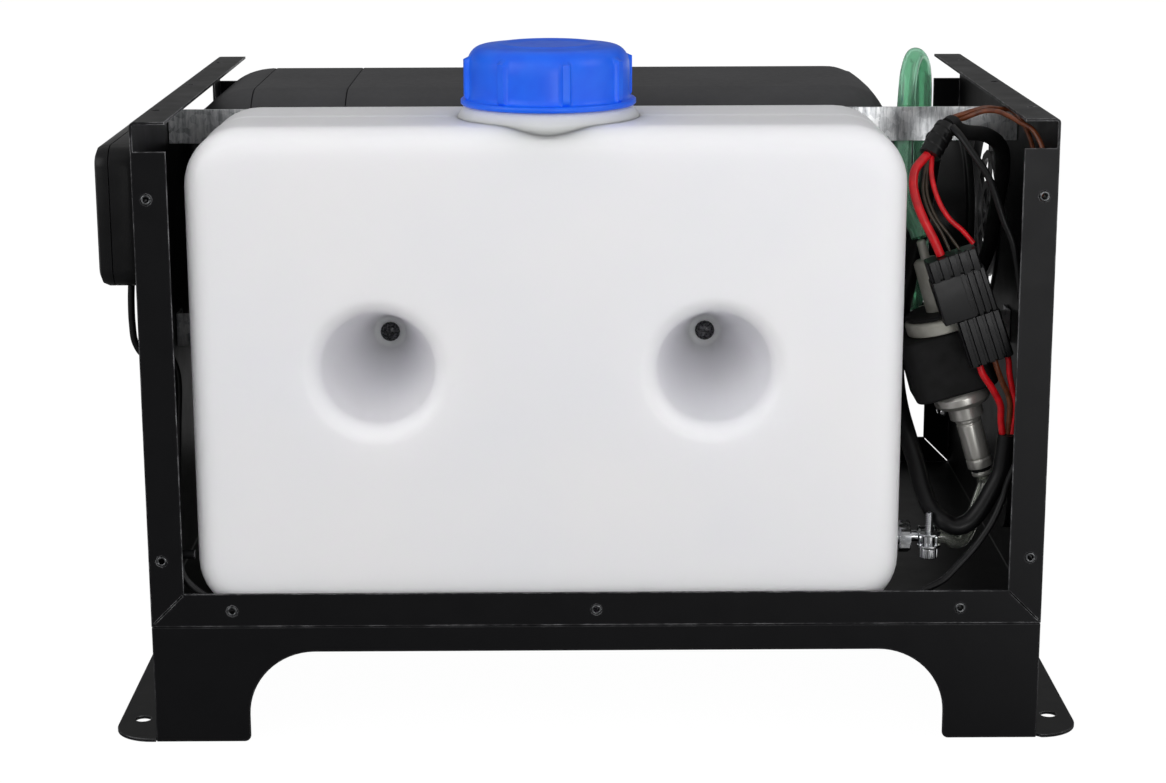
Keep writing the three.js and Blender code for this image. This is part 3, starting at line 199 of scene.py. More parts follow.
def routeThrough(points, stepsBetween):
    # the centripetal curve through the points, stepsBetween of its own points to each span
    route = np.array(points, float)
    route[:, 1] += frontY
    padded = np.vstack([2 * route[0] - route[1], route, 2 * route[-1] - route[-2]])
    spans = np.sqrt(np.linalg.norm(np.diff(padded, axis=0), axis=1))
    knots = np.concatenate([[0], np.cumsum(spans)])
    pieces = []
    for i in range(len(route) - 1):
        p, k = padded[i : i + 4], knots[i : i + 4]
        t = np.linspace(k[1], k[2], stepsBetween, endpoint=False)[:, None]
        a1, a2, a3 = (between(t, k[j], k[j + 1], p[j], p[j + 1]) for j in range(3))
        b1, b2 = between(t, k[0], k[2], a1, a2), between(t, k[1], k[3], a2, a3)
        pieces.append(between(t, k[1], k[2], b1, b2))
    pieces.append(route[-1:])
    return np.concatenate(pieces)


def sectionAxes(route):
    # side and up vectors along a route, each turned as little as possible from the last
    tangents = np.gradient(route, axis=0)
    tangents /= np.linalg.norm(tangents, axis=1)[:, None]
    side = squareTo(tangents[0])[1]
    sides = []
    for tangent in tangents:
        side = side - tangent * np.dot(side, tangent)
        side = side / np.linalg.norm(side)
        sides.append(side)
    sides = np.array(sides)
    return sides, np.cross(tangents, sides)


def tube(points, radius, sides=16, stepsBetween=10, bore=0.0, surface=None):
    # a round section carried along the route; with a bore it is a pipe with a wall, else its ends are closed.
    # surface(distance, angle) gives a change of radius along the length.
    route = routeThrough(points, stepsBetween)
    sideways, upward = sectionAxes(route)
    angle = np.linspace(0, 2 * math.pi, sides, endpoint=False)
    distance = np.concatenate([[0], np.cumsum(np.linalg.norm(np.diff(route, axis=0), axis=1))])
    r = np.full((len(route), sides), float(radius))
    if surface is not None:
        r = r + surface(distance[:, None], angle[None, :])
    turn = angle[None, :, None]
    ring = np.cos(turn) * sideways[:, None, :] + np.sin(turn) * upward[:, None, :]
    outer = route[:, None, :] + r[..., None] * ring
    if bore:
        inner = route[::-1, None, :] + bore * ring[::-1]
        points = np.concatenate([outer, inner])
        return points.reshape(-1, 3), gridFaces(len(points), sides, closeRows=True, closeCols=True)
    ends = [np.broadcast_to(route[i], (1, sides, 3)) for i in (0, -1)]
    points = np.concatenate([ends[0], outer, ends[1]])
    return points.reshape(-1, 3), gridFaces(len(points), sides, closeCols=True)


print("tools ready")


# materials
def startMaterial(name, colour, roughness, **sockets):
    # a plain material, its tree, shader and object coordinates; _ in a socket's name stands for a space
    material = bpy.data.materials.new(name)
    material.use_nodes = True
    tree = material.node_tree
    shader = tree.nodes["Principled BSDF"]
    shader.inputs["Base Color"].default_value = linearColour(colour)
    shader.inputs["Roughness"].default_value = roughness
    for key, value in sockets.items():
        shader.inputs[key.replace("_", " ")].default_value = value
    material.diffuse_color = linearColour(colour)
    return material, tree, shader, addNode(tree, "TexCoord").outputs["Object"]


def grain(tree, where, size, detail=2.0, roughness=0.5):
    # noise whose features are about size millimetres across
    links = {"Vector": where, "Scale": 1000 / size, "Detail": detail, "Roughness": roughness}
    return addNode(tree, "TexNoise", links=links).outputs["Fac"]


def calculated(tree, operation, *values):
    # the result of a maths node on one, two or three values
    return addNode(tree, "Math", {"operation": operation}, dict(enumerate(values))).outputs["Value"]


def spread(tree, value, low, high, toLow=0.0, toHigh=1.0, **settings):
    # value moved from the range low to high into the range toLow to toHigh
    links = {"Value": value, "From Min": low, "From Max": high, "To Min": toLow, "To Max": toHigh}
    return addNode(tree, "MapRange", settings, links).outputs["Result"]


def ramp(tree, factor, stops):
    # a colour that follows factor, from 0 to 1, through the stops (place, linear colour)
    node = addNode(tree, "ValToRGB", links={"Fac": factor})
    while len(node.color_ramp.elements) < len(stops):
        node.color_ramp.elements.new(0.5)
    for element, (place, colour) in zip(node.color_ramp.elements, stops):
        element.position = place
        element.color = colour
    return node.outputs["Color"]


def coloured(tree, shader, factor, *stops):
    # the base colour follows factor through the stops (place, hex colour)
    colour = ramp(tree, factor, [(place, linearColour(text)) for place, text in stops])
    tree.links.new(colour, shader.inputs["Base Color"])


def twoTone(tree, shader, factor, dark, bright, upTo=0.3, above=0.7):
    # the base colour is dark up to one value of factor and bright above another
    coloured(tree, shader, factor, (upTo, dark), (above, bright))


def varied(tree, shader, factor, low, high):
    # the roughness follows factor from low to high
    tree.links.new(spread(tree, factor, 0.0, 1.0, low, high), shader.inputs["Roughness"])


def bumped(tree, shader, height, strength, depth):
    # a bump of the given height field, depth millimetres deep
    bump = addNode(tree, "Bump", links={"Height": height, "Strength": strength, "Distance": depth * mm})
    tree.links.new(bump.outputs["Normal"], shader.inputs["Normal"])


def surface(name, colour, roughness, tones=None, shine=None, skin=None, **sockets):
    # a material with up to three grains, each written as (size in millimetres, detail, roughness) or less:
    # tones = (grain, two colours), shine = (grain, low and high roughness), skin = (grain, strength, depth)
    material, tree, shader, where = startMaterial(name, colour, roughness, **sockets)
    for looks, use in ((tones, twoTone), (shine, varied), (skin, bumped)):
        if looks:
            use(tree, shader, grain(tree, where, *looks[0]), *looks[1:])
    return material


def powderCoat():
    # Polyester powder coat on folded steel: semi-gloss black with a fine orange peel about 1 mm across. Its
    # edges
    # are painted lighter grey in patches: partly wear where the cover slides, partly a painted highlight for
    # the light the edges catch. An edge is where the normal of a small rounding leaves the normal of the
    # face; the patches take some of the edges.
    material, tree, shader, where = startMaterial(
        "blackPowderCoat", "#0e0e10", 0.4, IOR=1.5, Specular_IOR_Level=0.22
    )
    bumped(tree, shader, grain(tree, where, 1.1, 3), 0.25, 0.05)
    faceNormal = addNode(tree, "NewGeometry").outputs["Normal"]
    softNormal = addNode(tree, "Bevel", {"samples": 4}, {"Radius": 0.001}).outputs["Normal"]
    agree = addNode(tree, "VectorMath", {"operation": "DOT_PRODUCT"}, {0: faceNormal, 1: softNormal})
    edge = spread(tree, agree.outputs["Value"], 0.99, 0.8)
    wornAndLitPatches = spread(tree, grain(tree, where, 9, 6, 0.75), 0.4, 0.62, toLow=0.25)
    # painted highlight and wear: patches along the edges turn lighter grey
    wearAndEdgeHighlight = calculated(tree, "MULTIPLY", edge, wornAndLitPatches)
    coloured(tree, shader, wearAndEdgeHighlight, (0.0, "#0b0b0d"), (0.4, "#3c3c3e"), (1.0, "#9c9c9e"))
    varied(tree, shader, grain(tree, where, 14, 4), 0.3, 0.46)
    return material


def galvanisedSheet():
    # Hot-dip galvanised sheet: bright zinc, crystals about 3 mm across, and darker streaks drawn along its
    # height at
    # random: painted shade for the shadows the cables in front cast on it; the streaks also vary its
    # roughness.
    material, tree, shader, where = startMaterial(
        "spangledZincSheet", "#d4d6d8", 0.34, Metallic=0.96, IOR=1.6
    )
    warp = addNode(tree, "TexNoise", links={"Vector": where, "Scale": 240.0, "Detail": 3.0}).outputs["Color"]
    shift = addNode(tree, "VectorMath", {"operation": "SCALE"}, {"Vector": warp, "Scale": 0.003})
    bent = addNode(tree, "VectorMath", {"operation": "ADD"}, {0: where, 1: shift.outputs["Vector"]})
    cells = addNode(tree, "TexVoronoi", links={"Vector": bent.outputs["Vector"], "Scale": 1000 / 3})
    crystal = addNode(tree, "SeparateColor", links={"Color": cells.outputs["Color"]}).outputs["Red"]
    drawn = addNode(tree, "Mapping", links={"Vector": where, "Scale": (1.0, 1.0, 0.12)}).outputs["Vector"]
    # painted shade: darker streaks drawn along the height, laid at random
    shadeStreaks = grain(tree, drawn, 2.2, 6, 0.7)
    tone = calculated(tree, "MULTIPLY_ADD", crystal, 0.16, shadeStreaks)
    coloured(tree, shader, tone, (0.42, "#a3a6a9"), (0.58, "#d8dadc"), (0.7, "#f2f3f4"))
    varied(tree, shader, shadeStreaks, 0.5, 0.24)
    bumped(tree, shader, tone, 0.3, 0.06)
    return material


def solderMask():
    # Circuit board: green solder mask over woven glass laminate.
    material, tree, shader, where = startMaterial("solderMask", "#17482c", 0.35, IOR=1.5)
    threads = (("Color1", "#1a5233"), ("Color2", "#153f28"), ("Mortar", "#2b7a4a"))
    tones = {socket: linearColour(colour) for socket, colour in threads}
    weave = addNode(tree, "TexBrick", links={"Vector": where, "Scale": 300.0, **tones})
    tree.links.new(weave.outputs["Color"], shader.inputs["Base Color"])
    bumped(tree, shader, grain(tree, where, 0.5, 2), 0.1, 0.03)
    return material


def wireVinyl(name, dark, bright):
    # extruded PVC insulation: even colour, shiny, with faint uneven spots
    return surface(
        name, bright, 0.3, tones=((4, 3), dark, bright, 0.3, 0.6), shine=((2.5, 3), 0.24, 0.42),
        skin=((1.2, 2), 0.12, 0.03), IOR=1.53,
    )


materials["paint"] = powderCoat()
materials["galvanised"] = galvanisedSheet()
materials["board"] = solderMask()
materials["redWire"] = wireVinyl("redVinylWire", "#ad0b16", "#cc0f1b")
materials["brownWire"] = wireVinyl("brownVinylWire", "#4a2413", "#6e3a20")
materials["oliveWire"] = wireVinyl("oliveVinylWire", "#241f1a", "#3c342a")

# Blow moulded polyethylene, natural white: satin, milky, light bleeding a few millimetres under the skin.
materials["milky"] = surface(
    "blowMouldedPolyethylene", "#f4f3f8", 0.38, tones=((70, 2), "#f2f2f7", "#f5f4f8"),
    shine=((9, 3), 0.34, 0.46), skin=((1.6, 3), 0.12, 0.04), IOR=1.5,
    Subsurface_Weight=0.85, Subsurface_Scale=0.012, Subsurface_Radius=(1.0, 0.95, 1.0),
)
# Injection moulded polypropylene, coloured right through: satin, with a slightly waxy depth.
materials["blue"] = surface(
    "bluePolypropylene", "#0e63f4", 0.36, tones=((12, 3), "#0a5df0", "#126af8"),
    shine=((5, 3), 0.3, 0.44), skin=((0.7, 3), 0.2, 0.04), IOR=1.49,
    Subsurface_Weight=0.08, Subsurface_Scale=0.001,
)
# Glass filled polyamide of the heater shells: dark grey, eroded grain about 1 mm across.
materials["shell"] = surface(
    "grainedPolyamide", "#29292b", 0.6, tones=((40, 4), "#303032", "#38383a"),
    shine=((3, 3), 0.52, 0.68), skin=((0.9, 4, 0.7), 0.35, 0.08), IOR=1.53,
)
# Moulded polyamide and ABS of small black parts: satin with fine spark erosion.
materials["black"] = surface(
    "mouldedBlackPlastic", "#0f0f10", 0.3, tones=((9, 3), "#0d0d0e", "#121213"),
    shine=((4, 3), 0.24, 0.38), skin=((0.6, 3), 0.15, 0.03), IOR=1.53, Specular_IOR_Level=0.24,
)
# Vulcanised rubber: dull black with a dusty bloom.
materials["rubber"] = surface(
    "vulcanisedRubber", "#141414", 0.72, tones=((7, 4), "#0b0b0b", "#131314", 0.35, 0.7),
    shine=((5, 3), 0.62, 0.82), skin=((0.8, 3), 0.25, 0.05), IOR=1.52, Specular_IOR_Level=0.35,
)
# Black PVC sheath of leads and sleeve: smooth, slightly soft shine.
materials["sheath"] = surface(
    "blackVinylSheath", "#0c0c0d", 0.36, tones=((8, 3), "#0a0a0b", "#101011"),
    shine=((6, 3), 0.28, 0.44), skin=((1.4, 3), 0.2, 0.05), IOR=1.53, Specular_IOR_Level=0.3,
)
# Bright zinc plate on turned steel: pale, slightly blue, with a fine grain.
materials["plated"] = surface(
    "brightZincPlate", "#d9dbde", 0.2, tones=((3, 4), "#cfd2d6", "#e6e7e8"),
    shine=((1.5, 3), 0.12, 0.26), skin=((0.6, 3), 0.15, 0.03), Metallic=1.0,
)
# Zinc plate dulled by the coating round it, on the rivet nuts.
materials["dulled"] = surface(
    "dulledZincPlate", "#77787a", 0.3, tones=((1.2, 3), "#4c4d4f", "#8b8c8e", 0.35, 0.65),
    shine=((0.9, 3), 0.2, 0.4), skin=((0.5, 2), 0.1, 0.02), Metallic=1.0,
)
# Blackened steel of the tank screws, worn brighter in spots.
materials["blackened"] = surface(
    "blackenedSteel", "#3a3a3c", 0.3, tones=((0.9, 3), "#262628", "#6a6a6c", 0.4, 0.62),
    shine=((1.2, 3), 0.24, 0.42), Metallic=1.0,
)
# Turned and polished steel of the pump: a warm pale metal with a soft satin.
materials["steel"] = surface(
    "satinSteel", "#e6e4dd", 0.3, tones=((20, 3), "#e0ded7", "#ebe9e3"),
    shine=((7, 4), 0.27, 0.34), Metallic=0.85,
)
# Nickel plated can and neck of the pump: pale, matt, almost without reflections.
materials["nickel"] = surface(
    "mattNickelPlate", "#b9b8ae", 0.5, tones=((6, 4), "#b0afa5", "#c3c2b9"),
    shine=((4, 3), 0.42, 0.56), skin=((0.8, 3), 0.1, 0.03), Metallic=0.55, IOR=1.5,
)
# Die cast aluminium: dull grey, sandy skin.
materials["cast"] = surface(
    "dieCastAluminium", "#a3a5a6", 0.52, tones=((11, 4), "#8f9192", "#adafb0"),
    shine=((4, 3), 0.45, 0.62), skin=((0.9, 4, 0.7), 0.5, 0.1), Metallic=1.0,
)
# Extruded polyurethane fuel hose, clear green: glossy, light passing through the wall.
materials["green"] = surface(
    "clearGreenPolyurethane", "#9fd9ba", 0.12, tones=((16, 2), "#98d4b3", "#a6dec1"),
    shine=((5, 2), 0.06, 0.14), IOR=1.5, Transmission_Weight=0.78,
)
# Clear polyurethane pipe with a slight yellow cast.
materials["clear"] = surface(
    "clearPolyurethane", "#e6e9e2", 0.08, tones=((12, 2), "#d6dad0", "#e6e9e2"),
    shine=((5, 2), 0.05, 0.12), IOR=1.5, Transmission_Weight=0.93,
)
# Display window: clear acrylic over a dark liquid crystal panel.
materials["window"] = surface(
    "acrylicOverDisplay", "#11161a", 0.08, tones=((30, 2), "#10151a", "#151c20"),
    shine=((6, 2), 0.05, 0.1), IOR=1.49, Coat_Weight=0.6,
)
# Silicone rubber key caps: soft dark grey.
materials["key"] = surface(
    "siliconeKey", "#2a2a2c", 0.6, tones=((2, 3), "#262628", "#303032"),
    shine=((2, 2), 0.52, 0.66), skin=((0.5, 2), 0.15, 0.03), IOR=1.43,
)
# Pressed fibre gasket: matt grey with a fine mottle.
materials["fibre"] = surface(
    "pressedFibre", "#5a5a56", 0.88, tones=((0.8, 5, 0.7), "#4c4c49", "#696964"),
    skin=((0.5, 4), 0.4, 0.08), IOR=1.5,
)
print("materials ready:", len(materials))

# case and stand
for node in ("case_tray", "stand_front", "stand_back", "stand_left", "stand_right"):
    softened(node, node + "_painted", "paint", width=0.55, segments=2)

# Blind rivet nuts pressed into the flanges: a thin bright flange round a threaded hole.
rivetNut = {
    "flange": 2.3, "proud": 0.5, "bore": 1.25, "deep": 7.0,
    "fromTop": 33.7, "fromBottom": 30.7, "fromSide": 5.9, "floorRow": 7.2, "floorSpacing": 163.5,
}
caseHalf, caseBottom, caseTop = 200.0, 55.0, 282.4


def rivetNutShape(place, outwards):
    # a half round lip turned about the nut's axis, with straight walls behind it
    n = rivetNut
    middle, half = (n["flange"] + n["bore"]) / 2, (n["flange"] - n["bore"]) / 2
    lip = [(middle - half * math.cos(a), n["proud"] * math.sin(a)) for a in np.linspace(0, math.pi, 9)]
    profile = [(n["bore"], -n["deep"]), *lip, (n["flange"], -n["deep"])]
    return turnedShape(profile, place, outwards, sides=32)


sideX = caseHalf - rivetNut["fromSide"]
sideHeights = (caseBottom + rivetNut["fromBottom"], caseTop - rivetNut["fromTop"])
floorX, floorHeight = rivetNut["floorSpacing"], caseBottom + rivetNut["floorRow"]
ways = ((frontY, (0, -1, 0)), (-frontY, (0, 1, 0)))
nuts = [rivetNutShape((x, y, z), way) for x in (-sideX, sideX) for y, way in ways for z in sideHeights]
nuts += [rivetNutShape((x, y, floorHeight), way) for x in (-floorX, 0, floorX) for y, way in ways]
makePiece("rivetNuts", joinGrids(*nuts), "dulled")
print("case ready")

# tank
tankTable = {
    "centre": (-21.5, -89.5, 167.75), "half": (158.0, 110.75), "halfDepth": 45.0, "corner": 26.0,
    "edge": 11.0, "recesses": (-96.5, 52.5), "recessZ": 171.0, "block": 40.0, "mouth": 33.0, "lip": 9.0,
    "foot": 6.5, "depth": 87.4, "neckX": -20.5, "seamProud": 0.35,
}


def roundedCorners(points, half, radius):
    # moves points of a plain rectangle so that its outline gets round corners: inside each corner square the
    # point keeps its direction from the inner corner, and its larger part becomes its distance
    limit = np.asarray(half) - radius
    inner = np.clip(points, -limit, limit)
    rest = points - inner
    longest = np.abs(rest).max(axis=-1, keepdims=True)
    length = np.linalg.norm(rest, axis=-1, keepdims=True)
    return inner + rest * np.where(length > 1e-9, longest / np.maximum(length, 1e-9), 0)


def spaced(*bands):
    # coordinates through bands of (end, count) after the first start value
    values = [np.array([bands[0]])]
    start = bands[0]
    for end, count in bands[1:]:
        values.append(np.linspace(start, end, count + 1)[1:])
        start = end
    return np.concatenate(values)


def tankShape():
    # two faces of a rounded box on a grid, the front one with square holes for the recesses; an outline swept
    # round the edges between them; the funnels of the recesses; and a turned neck
    t = tankTable
    cx, cy, cz = t["centre"]
    radius = t["corner"] - t["edge"]
    half = np.array(t["half"]) - t["edge"]
    recessX = [x - cx for x in t["recesses"]]
    recessZ = t["recessZ"] - cz
    b, steps = t["block"], 24  # half a recess block's side, and the steps along the side
    xs = spaced(
        -half[0], (-half[0] + radius, 6), (recessX[0] - b, 4), (recessX[0] + b, steps), (recessX[1] - b, 14),
        (recessX[1] + b, steps), (half[0] - radius, 4), (half[0], 6),
    )
    zs = spaced(
        -half[1], (-half[1] + radius, 6), (recessZ - b, 10), (recessZ + b, steps), (half[1] - radius, 9),
        (half[1], 6),
    )
    gridX, gridZ = np.meshgrid(xs, zs)
    flat = roundedCorners(np.stack([gridX, gridZ], axis=-1), half, radius)
    allFaces = gridFaces(len(zs), len(xs))
    middles = np.stack([gridX.ravel(), gridZ.ravel()], axis=1)[allFaces].mean(axis=1)
    inBlock = np.zeros(len(allFaces), bool)
    for x in recessX:
        inBlock |= (np.abs(middles[:, 0] - x) < b) & (np.abs(middles[:, 1] - recessZ) < b)

    def lay(plane, depth):
        # plane coordinates and depth behind the tank's front as points in the frame
        plane, depth = np.broadcast_arrays(plane, np.asarray(depth)[..., None])
        y = depth[..., 0] + cy - t["halfDepth"]
        return np.stack([plane[..., 0] + cx, y, plane[..., 1] + cz], axis=-1)

    front = (lay(flat, np.zeros(flat.shape[:2])), allFaces[~inBlock])
    back = (lay(flat, np.full(flat.shape[:2], 2 * t["halfDepth"])), allFaces)

    # the screw recesses: a square block of the face drawn in to a circle, then down the funnel to its foot
    side = np.linspace(-b, b, steps + 1)
    rising, falling, border = side[:-1], side[:0:-1], np.full(steps, b)
    borders = ((rising, -border), (border, rising), (falling, border), (-border, falling))
    square = np.concatenate([np.stack(pair, 1) for pair in borders])
    heading = square / np.linalg.norm(square, axis=1)[:, None]
    lip, mouth = t["lip"], t["mouth"]
    slope = np.linspace(0, 1, 9)
    lipRadius = mouth - lip * np.sin(slope * math.pi / 2) * 0.92
    lipDepth = lip * 1.25 * (1 - np.cos(slope * math.pi / 2))
    wallPart = np.linspace(0, 1, 15)[1:]
    footBend = 1.6
    wallEnd, wallFoot = t["foot"] + 1.4, t["depth"] - footBend
    wallRadius = lipRadius[-1] + (wallEnd - lipRadius[-1]) * wallPart
    wallDepth = lipDepth[-1] + (wallFoot - lipDepth[-1]) * wallPart
    footTurn = np.linspace(0, math.pi / 2, 5)[1:]
    footRadius = wallEnd - 2.0 * (1 - np.cos(footTurn))
    footDepth = wallFoot + footBend * np.sin(footTurn)
    funnelRadius = [*lipRadius[1:], *wallRadius, *footRadius, 2.4, 0.0]
    funnelDepth = [*lipDepth[1:], *wallDepth, *footDepth, t["depth"], t["depth"]]
    recesses = []
    for x in recessX:
        centre = np.array([x, recessZ])
        rings = []
        for k in np.linspace(0, 1, 6):
            eased = k * k * (3 - 2 * k)
            rings.append(lay(centre + square * (1 - eased) + heading * mouth * eased, np.zeros(len(square))))
        for r, d in zip(funnelRadius, funnelDepth):
            rings.append(lay(centre + heading * r, np.full(len(square), d)))
        recesses.append((np.array(rings), gridFaces(len(rings), len(square), closeCols=True)))

    # the face's outline carried round the front edge, along the side past the mould seam, and round the back
    outline = np.concatenate([flat[0, :-1], flat[:-1, -1], flat[-1, :0:-1], flat[:0:-1, 0]])
    core = np.clip(outline, -(half - radius), half - radius)
    outward = outline - core
    outward /= np.linalg.norm(outward, axis=1)[:, None]
    turn = np.linspace(0, math.pi / 2, 8)
    edge, deep = t["edge"], 2 * t["halfDepth"]
    sweep = [(edge * math.sin(a), edge * (1 - math.cos(a))) for a in turn]
    seam = ((43.6, 0), (44.6, t["seamProud"]), (45.4, t["seamProud"]), (46.4, 0))
    for d, proud in ((18, 0), (26, 0), (34, 0), (41, 0), *seam, (49, 0), (56, 0), (64, 0), (72, 0)):
        sweep.append((edge + proud, d))
    sweep += [(edge * math.sin(a), deep - edge * (1 - math.cos(a))) for a in turn[::-1]]
    skirt = np.array([lay(outline + outward * out, np.full(len(outline), d)) for out, d in sweep])
    body = [front, back, *recesses, (skirt, gridFaces(len(skirt), len(outline), closeCols=True))]

    # radius and height over the tank's top: the base, the thread's wall, the mouth and the inside
    neck = [
        (0, -9.5), (42.4, -5.4), (42.0, -3.0), (41.4, -1.0), (40.5, 0.7), (39.2, 2.2), (38.2, 4.0),
        (37.6, 5.0), (31.0, 5.05), (31.0, 25.3), (30.4, 25.9), (27.6, 25.9), (27.0, 25.3), (27.0, -9),
        (0, -9),
    ]
    neckShape = turnedShape(neck, (t["neckX"], cy, cz + t["half"][1]), (0, 0, 1), sides=128)
    return joinGrids(*body, neckShape)


makePiece("tankBottle", tankShape(), "milky", nodesReplaced=("fuel_tank",), sharp=60)
print("tank ready")

# filler cap
capTable = {
    "centre": (-20.5, -89.5), "foot": 284.0, "roof": 311.0, "flange": 39.2, "radius": 36.7,
    "ribs": 8, "ribTurn": -1.353, "ribWidth": 4.2, "ribProud": 1.5,
}


def capShape():
    # a turned profile, from the middle of the roof over the ribbed skirt and the flange to the inside
    c = capTable
    z0, z1, r = c["foot"], c["roof"], c["radius"]

    def ribbed(radius, height, angle):
        # raises the skirt by ribProud inside each rib, with sloping flanks, fading out under the roof
        period = 2 * math.pi / c["ribs"]
        offset = (angle - c["ribTurn"] + period / 2) % period - period / 2
        away = np.abs(offset) * r
        flank = np.clip((c["ribWidth"] / 2 + 0.35 - away) / 0.9, 0, 1)
        flank = flank * flank * (3 - 2 * flank)
        tall = np.clip((height - z0 - 2.6) / 0.8, 0, 1) * np.clip((z1 - 5.2 - height) / 0.9, 0, 1)
        onSkirt = radius > 33.0
        return radius + (r + c["ribProud"] - radius) * flank * tall * onSkirt

    outside = [
        (0, z1 - 0.5), (12, z1 - 0.5), (17.6, z1 - 0.45), (18.6, z1 - 0.1), (19.8, z1),
        (21.4, z1), (22.6, z1 - 0.15), (23.6, z1 - 0.55), (26, z1 - 0.7), (28.6, z1 - 0.95),
    ]
    arc = np.linspace(0, math.pi / 2, 10)
    outside += [(28.8 + (r - 0.5 - 28.8) * math.sin(a), z1 - 9.4 + 8.4 * math.cos(a)) for a in arc]
    outside += [(r - 0.4, z) for z in np.linspace(z1 - 10.5, z0 + 4.2, 9)]
    wide, inside = c["flange"], 31.95
    outside += [
        (r, z0 + 3.1), (r + 0.4, z0 + 2.75), (r + 1.1, z0 + 2.6), (wide - 0.5, z0 + 2.55), (wide, z0 + 2.1),
        (wide, z0 + 0.5), (wide - 0.5, z0), (32.6, z0), (inside, z0 + 0.6), (inside, z1 - 4.0), (0, z1 - 4.0),
    ]
    return turnedShape(outside, (*c["centre"], 0), (0, 0, 1), sides=320, wave=ribbed)


# the turned shape starts its angle on the x axis and goes round towards y, as the ribs are counted
makePiece("fillerCap", capShape(), "blue", body="cap", nodesReplaced=("filler_cap",), sharp=50)
softened("cap_liner", "capLiner", "rubber", width=0.4, body="cap_carrier")
print("cap ready")

# heater shells
heaterTable = {
    "axisY": 46.5, "axisZ": 211.0, "half": (72.5, 70.0), "corner": 28.0, "wall": 2.5, "splitZ": 165.0,
    "hoodX": -190.0, "hoodSeam": -163.0, "bandSeam": -118.0, "taperX": 132.0, "noseX": 160.0, "nose": 40.0,
    "port": 44.0, "seamGap": 0.15, "edge": (0.5, 0.15), "groove": (0.5, 0.7),
}


def heaterRing(x, inset=0.0, blend=0.0, circle=0.0, count=144):
    # points round the heater's axis: a rounded rectangle, blended into a circle, less a fine groove where the
    # upper and lower shells meet
    h = heaterTable
    angle = 2 * math.pi * (np.arange(count) + 0.5) / count
    dy, dz = np.cos(angle), np.sin(angle)
    hw, hh = h["half"][0] - inset, h["half"][1] - inset
    corner = max(h["corner"] - inset, 3.0)
    ay, az = np.abs(dy), np.abs(dz)
    flat = np.minimum(hw / np.maximum(ay, 1e-6), hh / np.maximum(az, 1e-6))
    cy, cz = hw - corner, hh - corner
    along = ay * cy + az * cz
    atCorner = along + np.sqrt(np.maximum(along**2 - (cy**2 + cz**2) + corner**2, 0))
    reach = np.where((ay * flat <= cy) | (az * flat <= cz), flat, atCorner)
    radius = reach + (circle - reach) * blend
    width, depth = h["groove"]
    groove = np.exp(-(((radius * dz - (h["splitZ"] - h["axisZ"])) / width) ** 2)) * depth
    radius = radius - groove * (blend < 0.5) * (inset < 20)
    return np.stack([np.full(count, x), h["axisY"] + radius * dy, h["axisZ"] + radius * dz], axis=1)


def shellEdge(x, way):
    # the two outer rings at a shell's edge, which is cut back a little, from the seam inwards
    cutBack, along = heaterTable["edge"]
    return [heaterRing(x, cutBack), heaterRing(x + way * along, along)]


def shellRings(rings):
    # rings in order over the outside and back inside, as one closed wall
    rings = np.array(rings)
    return rings, gridFaces(len(rings), rings.shape[1], closeRows=True, closeCols=True)


def heaterBody():
    # rounded rectangles along the axis, eased into a circle between the taper and the nose, as a wall
    h = heaterTable
    start, taper, end = h["bandSeam"] + h["seamGap"], h["taperX"], h["noseX"]
    early = 0.06  # how far the blend has gone where the taper starts
    stations = []
    for x in (*np.linspace(start + 0.5, taper - 12, 24), *np.linspace(taper - 8, taper - 1, 4)):
        lead = np.clip((x - taper + 10) / 10, 0, 1)
        stations.append((x, early * lead * lead))
    for t in np.linspace(0, 1, 15):
        stations.append((taper + (end - taper) * t, early + (1 - early) * t * t * (3 - 2 * t)))
    outer = [heaterRing(x, 0, blend, h["nose"]) for x, blend in stations]
    inner = [heaterRing(x, h["wall"], blend, h["nose"] - h["wall"]) for x, blend in stations]
    return shellRings([heaterRing(start, h["wall"]), *shellEdge(start, 1), *outer, *inner[::-1]])


def heaterBand():
    # a straight stretch between two seams, its edges cut back a little
    h = heaterTable
    a, b = h["hoodSeam"] + h["seamGap"], h["bandSeam"] - h["seamGap"]
    xs = np.linspace(a + 0.5, b - 0.5, 8)
    outer = [*shellEdge(a, 1), *[heaterRing(x) for x in xs], *shellEdge(b, -1)[::-1]]
    inner = [heaterRing(x, h["wall"]) for x in (b, *xs[::-1], a)]
    return shellRings([*outer, *inner])


def heaterHood():
    # a quarter ellipse from the seam to the port: the section shrinks by inset while x goes to the hood's end
    h = heaterTable
    end, mouth, inset = h["hoodSeam"] - h["seamGap"], h["port"], 18
    reach = end - h["hoodX"]
    outer = shellEdge(end, -1)
    for a in np.linspace(0.05, math.pi / 2, 14):
        outer.append(heaterRing(end - reach * math.sin(a), inset * (1 - math.cos(a))))
    for blend in (0.4, 0.8, 1.0):
        outer.append(heaterRing(h["hoodX"], inset, blend, mouth + 0.6 * (blend < 1)))
    outer.append(heaterRing(h["hoodX"] + h["wall"], inset, 1.0, mouth))
    outer.append(heaterRing(h["hoodX"] + h["wall"], inset + h["wall"], 0.4, mouth))
    for a in np.linspace(math.pi / 2, 0, 8):
        x = max(end - reach * math.sin(a), h["hoodX"] + h["wall"])
        outer.append(heaterRing(x, inset * (1 - math.cos(a)) + h["wall"]))
    return shellRings(outer)


shellNodes = ("heater_shell_upper", "heater_shell_lower")
makePiece("heaterShell", heaterBody(), "shell", nodesReplaced=shellNodes, sharp=45)
makePiece("heaterBand", heaterBand(), "shell", nodesReplaced=("outlet_band",), sharp=45)
makePiece("heaterHood", heaterHood(), "shell", nodesReplaced=("outlet_hood",), sharp=45)
noseProfile = rounded(
    [(37.5, 160.3), (40, 160.3), (40, 183.6), (41.5, 184.6), (41.5, 188), (37.5, 188), (37.5, 160.3)], 0.5
)[:-1]
nose = turnedShape(noseProfile, (0, heaterTable["axisY"], heaterTable["axisZ"]), (1, 0, 0), sides=96)
makePiece("inletNose", nose, "black", nodesReplaced=("inlet_nose",))

